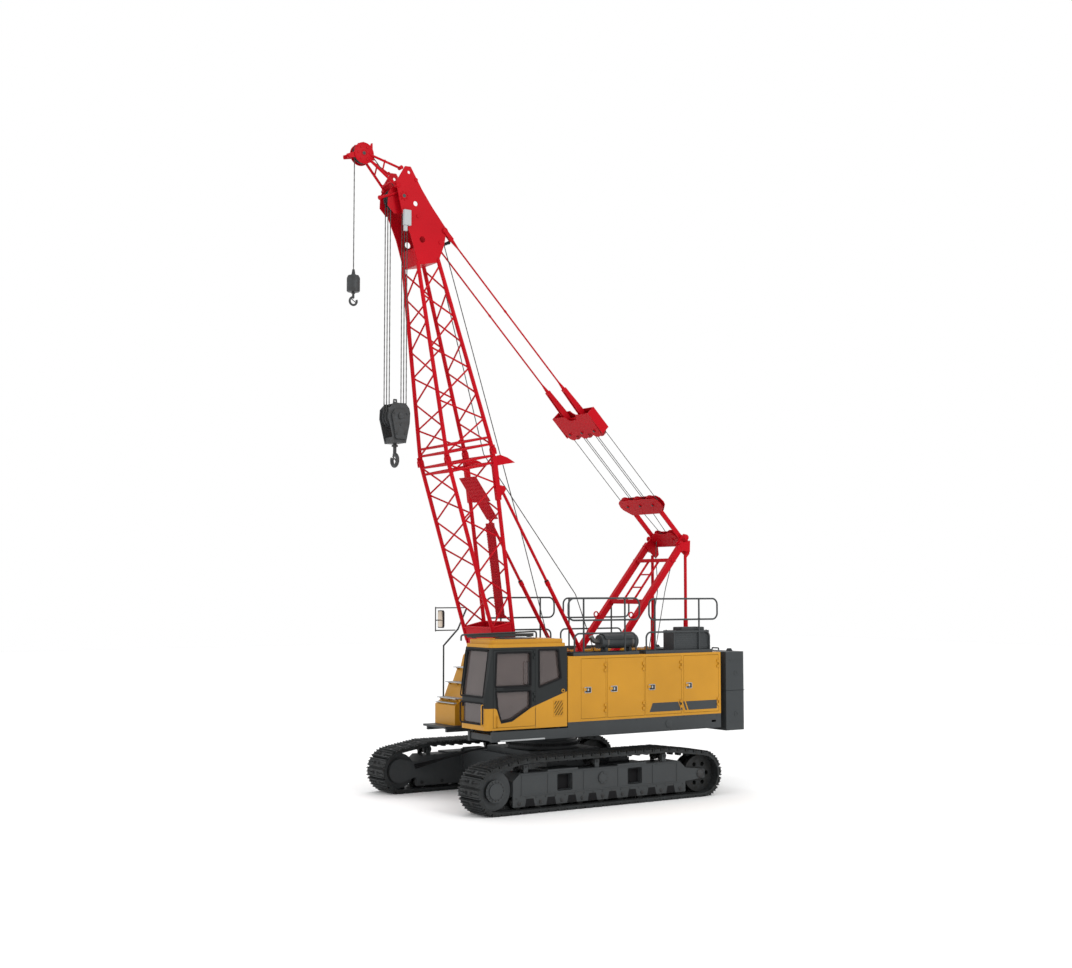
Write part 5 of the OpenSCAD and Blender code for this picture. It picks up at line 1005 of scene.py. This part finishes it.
cheeks = {"name": "head_sheave_cheeks", "slot": "red_paint",
          "outline": [(0.03, -0.30), (0.20, -0.28), (0.30, -0.12), (0.235, 0.12), (0.10, 0.235), (-0.10, 0.235),
                      (-0.14, -0.06)],
          "nose": [(0.024, 0), (0.042, 0.004), (0.042, 0.030), (0.030, 0.040), (0.0001, 0.040)]}
parts = [tube(line(onBoom(0.20, 0.182, 9.985), onBoom(0.70, 0.182, 9.900), 6), 0.024, 20),
         lathe(cheeks["nose"], onBoom(0.69, 0.182, 9.902), boomX - 0.17 * boomZ, 28)]
for s in bothSides:
    parts += [plate(np.array(cheeks["outline"]) * [-s, 1], onBoom(0.258, s * 0.150, 9.876), -s * boomX, boomZ,
                    0.012),
              pinHead(onBoom(0.258, s * 0.162, 9.876), (0, s, 0), 0.07, 0.014, 0.055, 0.022, 32)]
piece(cheeks, parts, redPaint, "boom", bevel=0.002)

jibGuard = {"name": "jib_sheave_guards", "slot": "red_paint",
            "disc": [(0.050, 0), (0.198, 0), (0.198, 0.012), (0.180, 0.018), (0.060, 0.018), (0.050, 0.010)]}
parts = []
for s in bothSides:
    parts += [lathe(jibGuard["disc"], jibAt + [0, s * 0.0795, 0], (0, s, 0), 48),
              studs(circlePlaces(jibAt + [0, s * 0.0975, 0], (0, s, 0), 0.125, 6), (0, s, 0), 0.022, 0.010, 16)]
for t in np.radians((35, 85)):
    way = math.cos(t) * forward + math.sin(t) * up
    parts.append(tube(line(jibAt + way * 0.17 + left * 0.088, jibAt + way * 0.20 + left * 0.088, 3), 0.016, 16))
piece(jibGuard, parts, redPaint, "boom")

roller = {"name": "head_rope_rollers", "slot": "grey_paint",
          "profile": [(0.03, -0.24), (0.036, -0.23), (0.03, -0.2), (0.03, 0.2), (0.036, 0.23), (0.03, 0.24)]}
parts = [lathe(roller["profile"], onBoom(x, 0, z), left, 24) for x, z in ((-0.55, 8.95), (-0.42, 9.05))]
piece(roller, parts, wheelSteel, "boom")

# Grating look of the walkway: narrow raised bars over the strip, and rows of raised rims on the platform
grating = {"name": "walkway_grating", "slot": "red_paint", "count": 88, "bar": (0.006, 0.292, 0.006)}
across = [onBoom(0.031 - halfDepth(z), 0.15, z) for z in np.linspace(1.87, 3.62, grating["count"])]
piece(grating, boxes(across, grating["bar"], np.stack([boomX, left, boomZ], 1)), deckRed, "boom")
rims = {"name": "platform_rims", "slot": "red_paint", "pitch": 0.07, "edge": 0.05,
        "sheets": (((-0.530, 3.69), (-0.372, 4.055), 0.39), ((-0.372, 4.055), (-0.150, 4.568), 0.60))}
parts = []
for (x0, z0), (x1, z1), w in rims["sheets"]:
    run = math.hypot(x1 - x0, z1 - z0)
    way = boomX * (x1 - x0) / run + boomZ * (z1 - z0) / run
    out = boomX * (z1 - z0) / run - boomZ * (x1 - x0) / run
    cells = spots(line(rims["edge"], run - rims["edge"], int(run / rims["pitch"])),
                  line(rims["edge"] - w / 2, w / 2 - rims["edge"], int(w / rims["pitch"])), 0)
    centres = onBoom(x0, 0, z0) + cells[:, :1] * way + cells[:, 1:2] * left
    parts += [studs(centres + out * 0.005 * s, out * s, 0.018, 0.006, 12, 0.7) for s in bothSides]
piece(rims, parts, deckRed, "boom")
print("stage: boom")

# Gantry and stays
gantryPins = {"name": "gantry_pin_heads", "slot": "red_paint", "eye": 0.05}
parts = []
for s in bothSides:
    parts += [pinHead((-3.09, s * 0.6145, 4.95), (0, s, 0), 0.055, 0.010, 0.045, 0.016),
              pinHead((-0.42, s * 0.684, 1.64), (0, s, 0), 0.045, 0.010, 0.036, 0.016),
              tube(np.array([-1.70, s * 0.585, 3.40]) + around(forward, up, 28) * gantryPins["eye"], 0.014,
                   closed=True)]
piece(gantryPins, parts, redPaint, "upperworks")

stayPins = {"name": "stay_pin_heads", "slot": "red_paint",
            "socket": [(0.0165, 0.0), (0.0215, 0.004), (0.0215, 0.05), (0.0165, 0.054)]}
parts = []
for s in bothSides:
    parts += [pinHead(onStay(0, s * 0.313, 0), (0, s, 0), 0.045, 0.008, 0.036, 0.014),
              lathe(stayPins["socket"], onStay(0, s * 0.28, 1.9), stayZ, 20)]
piece(stayPins, parts, redPaint, "stay_upper")
spreaderPins = {"name": "spreader_pin_heads", "slot": "grey_paint", "x": 0.112}
lowerPins = {"name": "lower_spreader_pin_heads", "slot": "grey_paint", "x": 0.062}
for spec, z, body in ((spreaderPins, tackle["upper"], "stay_upper"), (lowerPins, tackle["lower"], "stay_lower")):
    parts = [pinHead(onStay(w * spec["x"], y, z), stayX * w, 0.026, 0.006, 0.020, 0.010, 24)
             for y in tackle["ys"] for w in bothSides]
    piece(spec, parts, boltSteel, body)
stopSeals = {"name": "backstop_seals", "slot": "black_plastic", "along": 2.68, "y": 0.458,
             "profile": [(0.030, 0), (0.040, 0.004), (0.040, 0.020), (0.030, 0.026)]}
stopFoot = np.array([-1.15, 0, 1.75])
stopWay = onBoom(-float(halfDepth(4.23)) - 0.125, 0, 4.23) - stopFoot
stopWay /= np.linalg.norm(stopWay)
sealAt = stopFoot + stopWay * stopSeals["along"]
parts = [lathe(stopSeals["profile"], sealAt + left * s * stopSeals["y"], stopWay, 28) for s in bothSides]
piece(stopSeals, parts, rubber, "backstop_tube_set")
print("stage: stays")

# Hook blocks
blockBolts = {"name": "hook_block_bolts", "slot": "grey_paint", "radius": 0.018, "height": 0.016,
              "at": ((-0.09, -0.33), (0.07, -0.33), (-0.13, 0.04), (0.13, 0.04), (0.0, -0.16))}
parts = []
for s in bothSides:
    parts += [studs([(mainAt[0] + x, s * 0.230, mainRope["blockZ"] + z) for x, z in blockBolts["at"]], (0, s, 0),
                    blockBolts["radius"], blockBolts["height"]),
              pinHead((mainAt[0], s * 0.240, mainRope["blockZ"]), (0, s, 0), 0.056, 0.012, 0.045, 0.018)]
piece(blockBolts, parts, hookSteel, "block")
latch = {"name": "main_hook_latch", "slot": "grey_paint",
         "nut": [(0.055, 0), (0.058, 0.004), (0.058, 0.03), (0.05, 0.036)]}
strap = bent([(mainAt[0], -0.075, 6.335), (mainAt[0], -0.02, 6.29), (mainAt[0], 0.075, 6.225)], 0.03)
parts = [tube(strap, 0.012, side=(1, 0, 0)), lathe(latch["nut"], (mainAt[0], 0, 6.50), up, 6)]
piece(latch, parts, boltSteel, "main_hook_piece")
auxLatch = {"name": "aux_hook_latch", "slot": "grey_paint",
            "nut": [(0.034, 0), (0.036, 0.003), (0.036, 0.018), (0.03, 0.022)]}
parts = [tube(bent([(auxX + 0.05, 0, 9.145), (auxX, 0, 9.115), (auxX - 0.05, 0, 9.08)], 0.02), 0.008),
         lathe(auxLatch["nut"], (auxX, 0, 9.235), up, 6)]
piece(auxLatch, parts, boltSteel, "aux_hook_piece")
print("stage: hooks")

# Room, light and camera
floorMesh = bpy.data.meshes.new("floor")
floorMesh.from_pydata([(-70, -70, 0), (70, -70, 0), (70, 70, 0), (-70, 70, 0)], [], [(0, 1, 2, 3)])
floor = bpy.data.objects.new("floor", floorMesh)
bpy.context.scene.collection.objects.link(floor)
floorLook, tree, shader, where = newMaterial("floor_look")
shade = ramp(tree, noise(tree, where, 0.4, 2), 0.3, 0.7, (0.93, 0.93, 0.93), (0.95, 0.95, 0.95))
tree.links.new(shade, shader.inputs["Base Color"])
shader.inputs["Roughness"].default_value = 0.85
floorMesh.materials.append(floorLook)
floor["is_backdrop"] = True

world = bpy.data.worlds.new("room")
bpy.context.scene.world = world
world.use_nodes = True
world.node_tree.nodes["Background"].inputs[0].default_value = (1.0, 1.0, 1.0, 1)
world.node_tree.nodes["Background"].inputs[1].default_value = 1.0
bpy.context.scene.view_settings.view_transform = "Standard"


def placedInScene(name, data, at, towards):
    made = bpy.data.objects.new(name, data)
    made.location = at
    made.rotation_euler = Vector(towards).to_track_quat("-Z", "Y").to_euler()
    bpy.context.scene.collection.objects.link(made)
    return made


def areaLight(name, at, size, power, tint):
    data = bpy.data.lights.new(name, "AREA")
    data.energy = power
    data.size = size
    data.color = tint
    placedInScene(name, data, at, Vector((0, 0, 4)) - Vector(at))


areaLight("key", (-4, 26, 20), 9, 2400, (1, 0.99, 0.97))
areaLight("fill", (24, 4, 12), 12, 500, (0.97, 0.98, 1))
sunData = bpy.data.lights.new("sky", "SUN")
sunData.energy = 0.55
sunData.angle = 0.6
sun = bpy.data.objects.new("sky", sunData)
sun.rotation_euler = (0.5, -0.35, 0)
bpy.context.scene.collection.objects.link(sun)

cameraData = bpy.data.cameras.new("camera")
cameraData.lens = 49.70
cameraData.sensor_width = 36
cameraData.clip_end = 300
bpy.context.scene.camera = placedInScene("camera", cameraData, (16.022, 23.863, 3.899), (-0.5523, -0.8306, 0.0711))
print("stage: camera")

visualBounds = [list(map(float, corner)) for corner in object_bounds()]
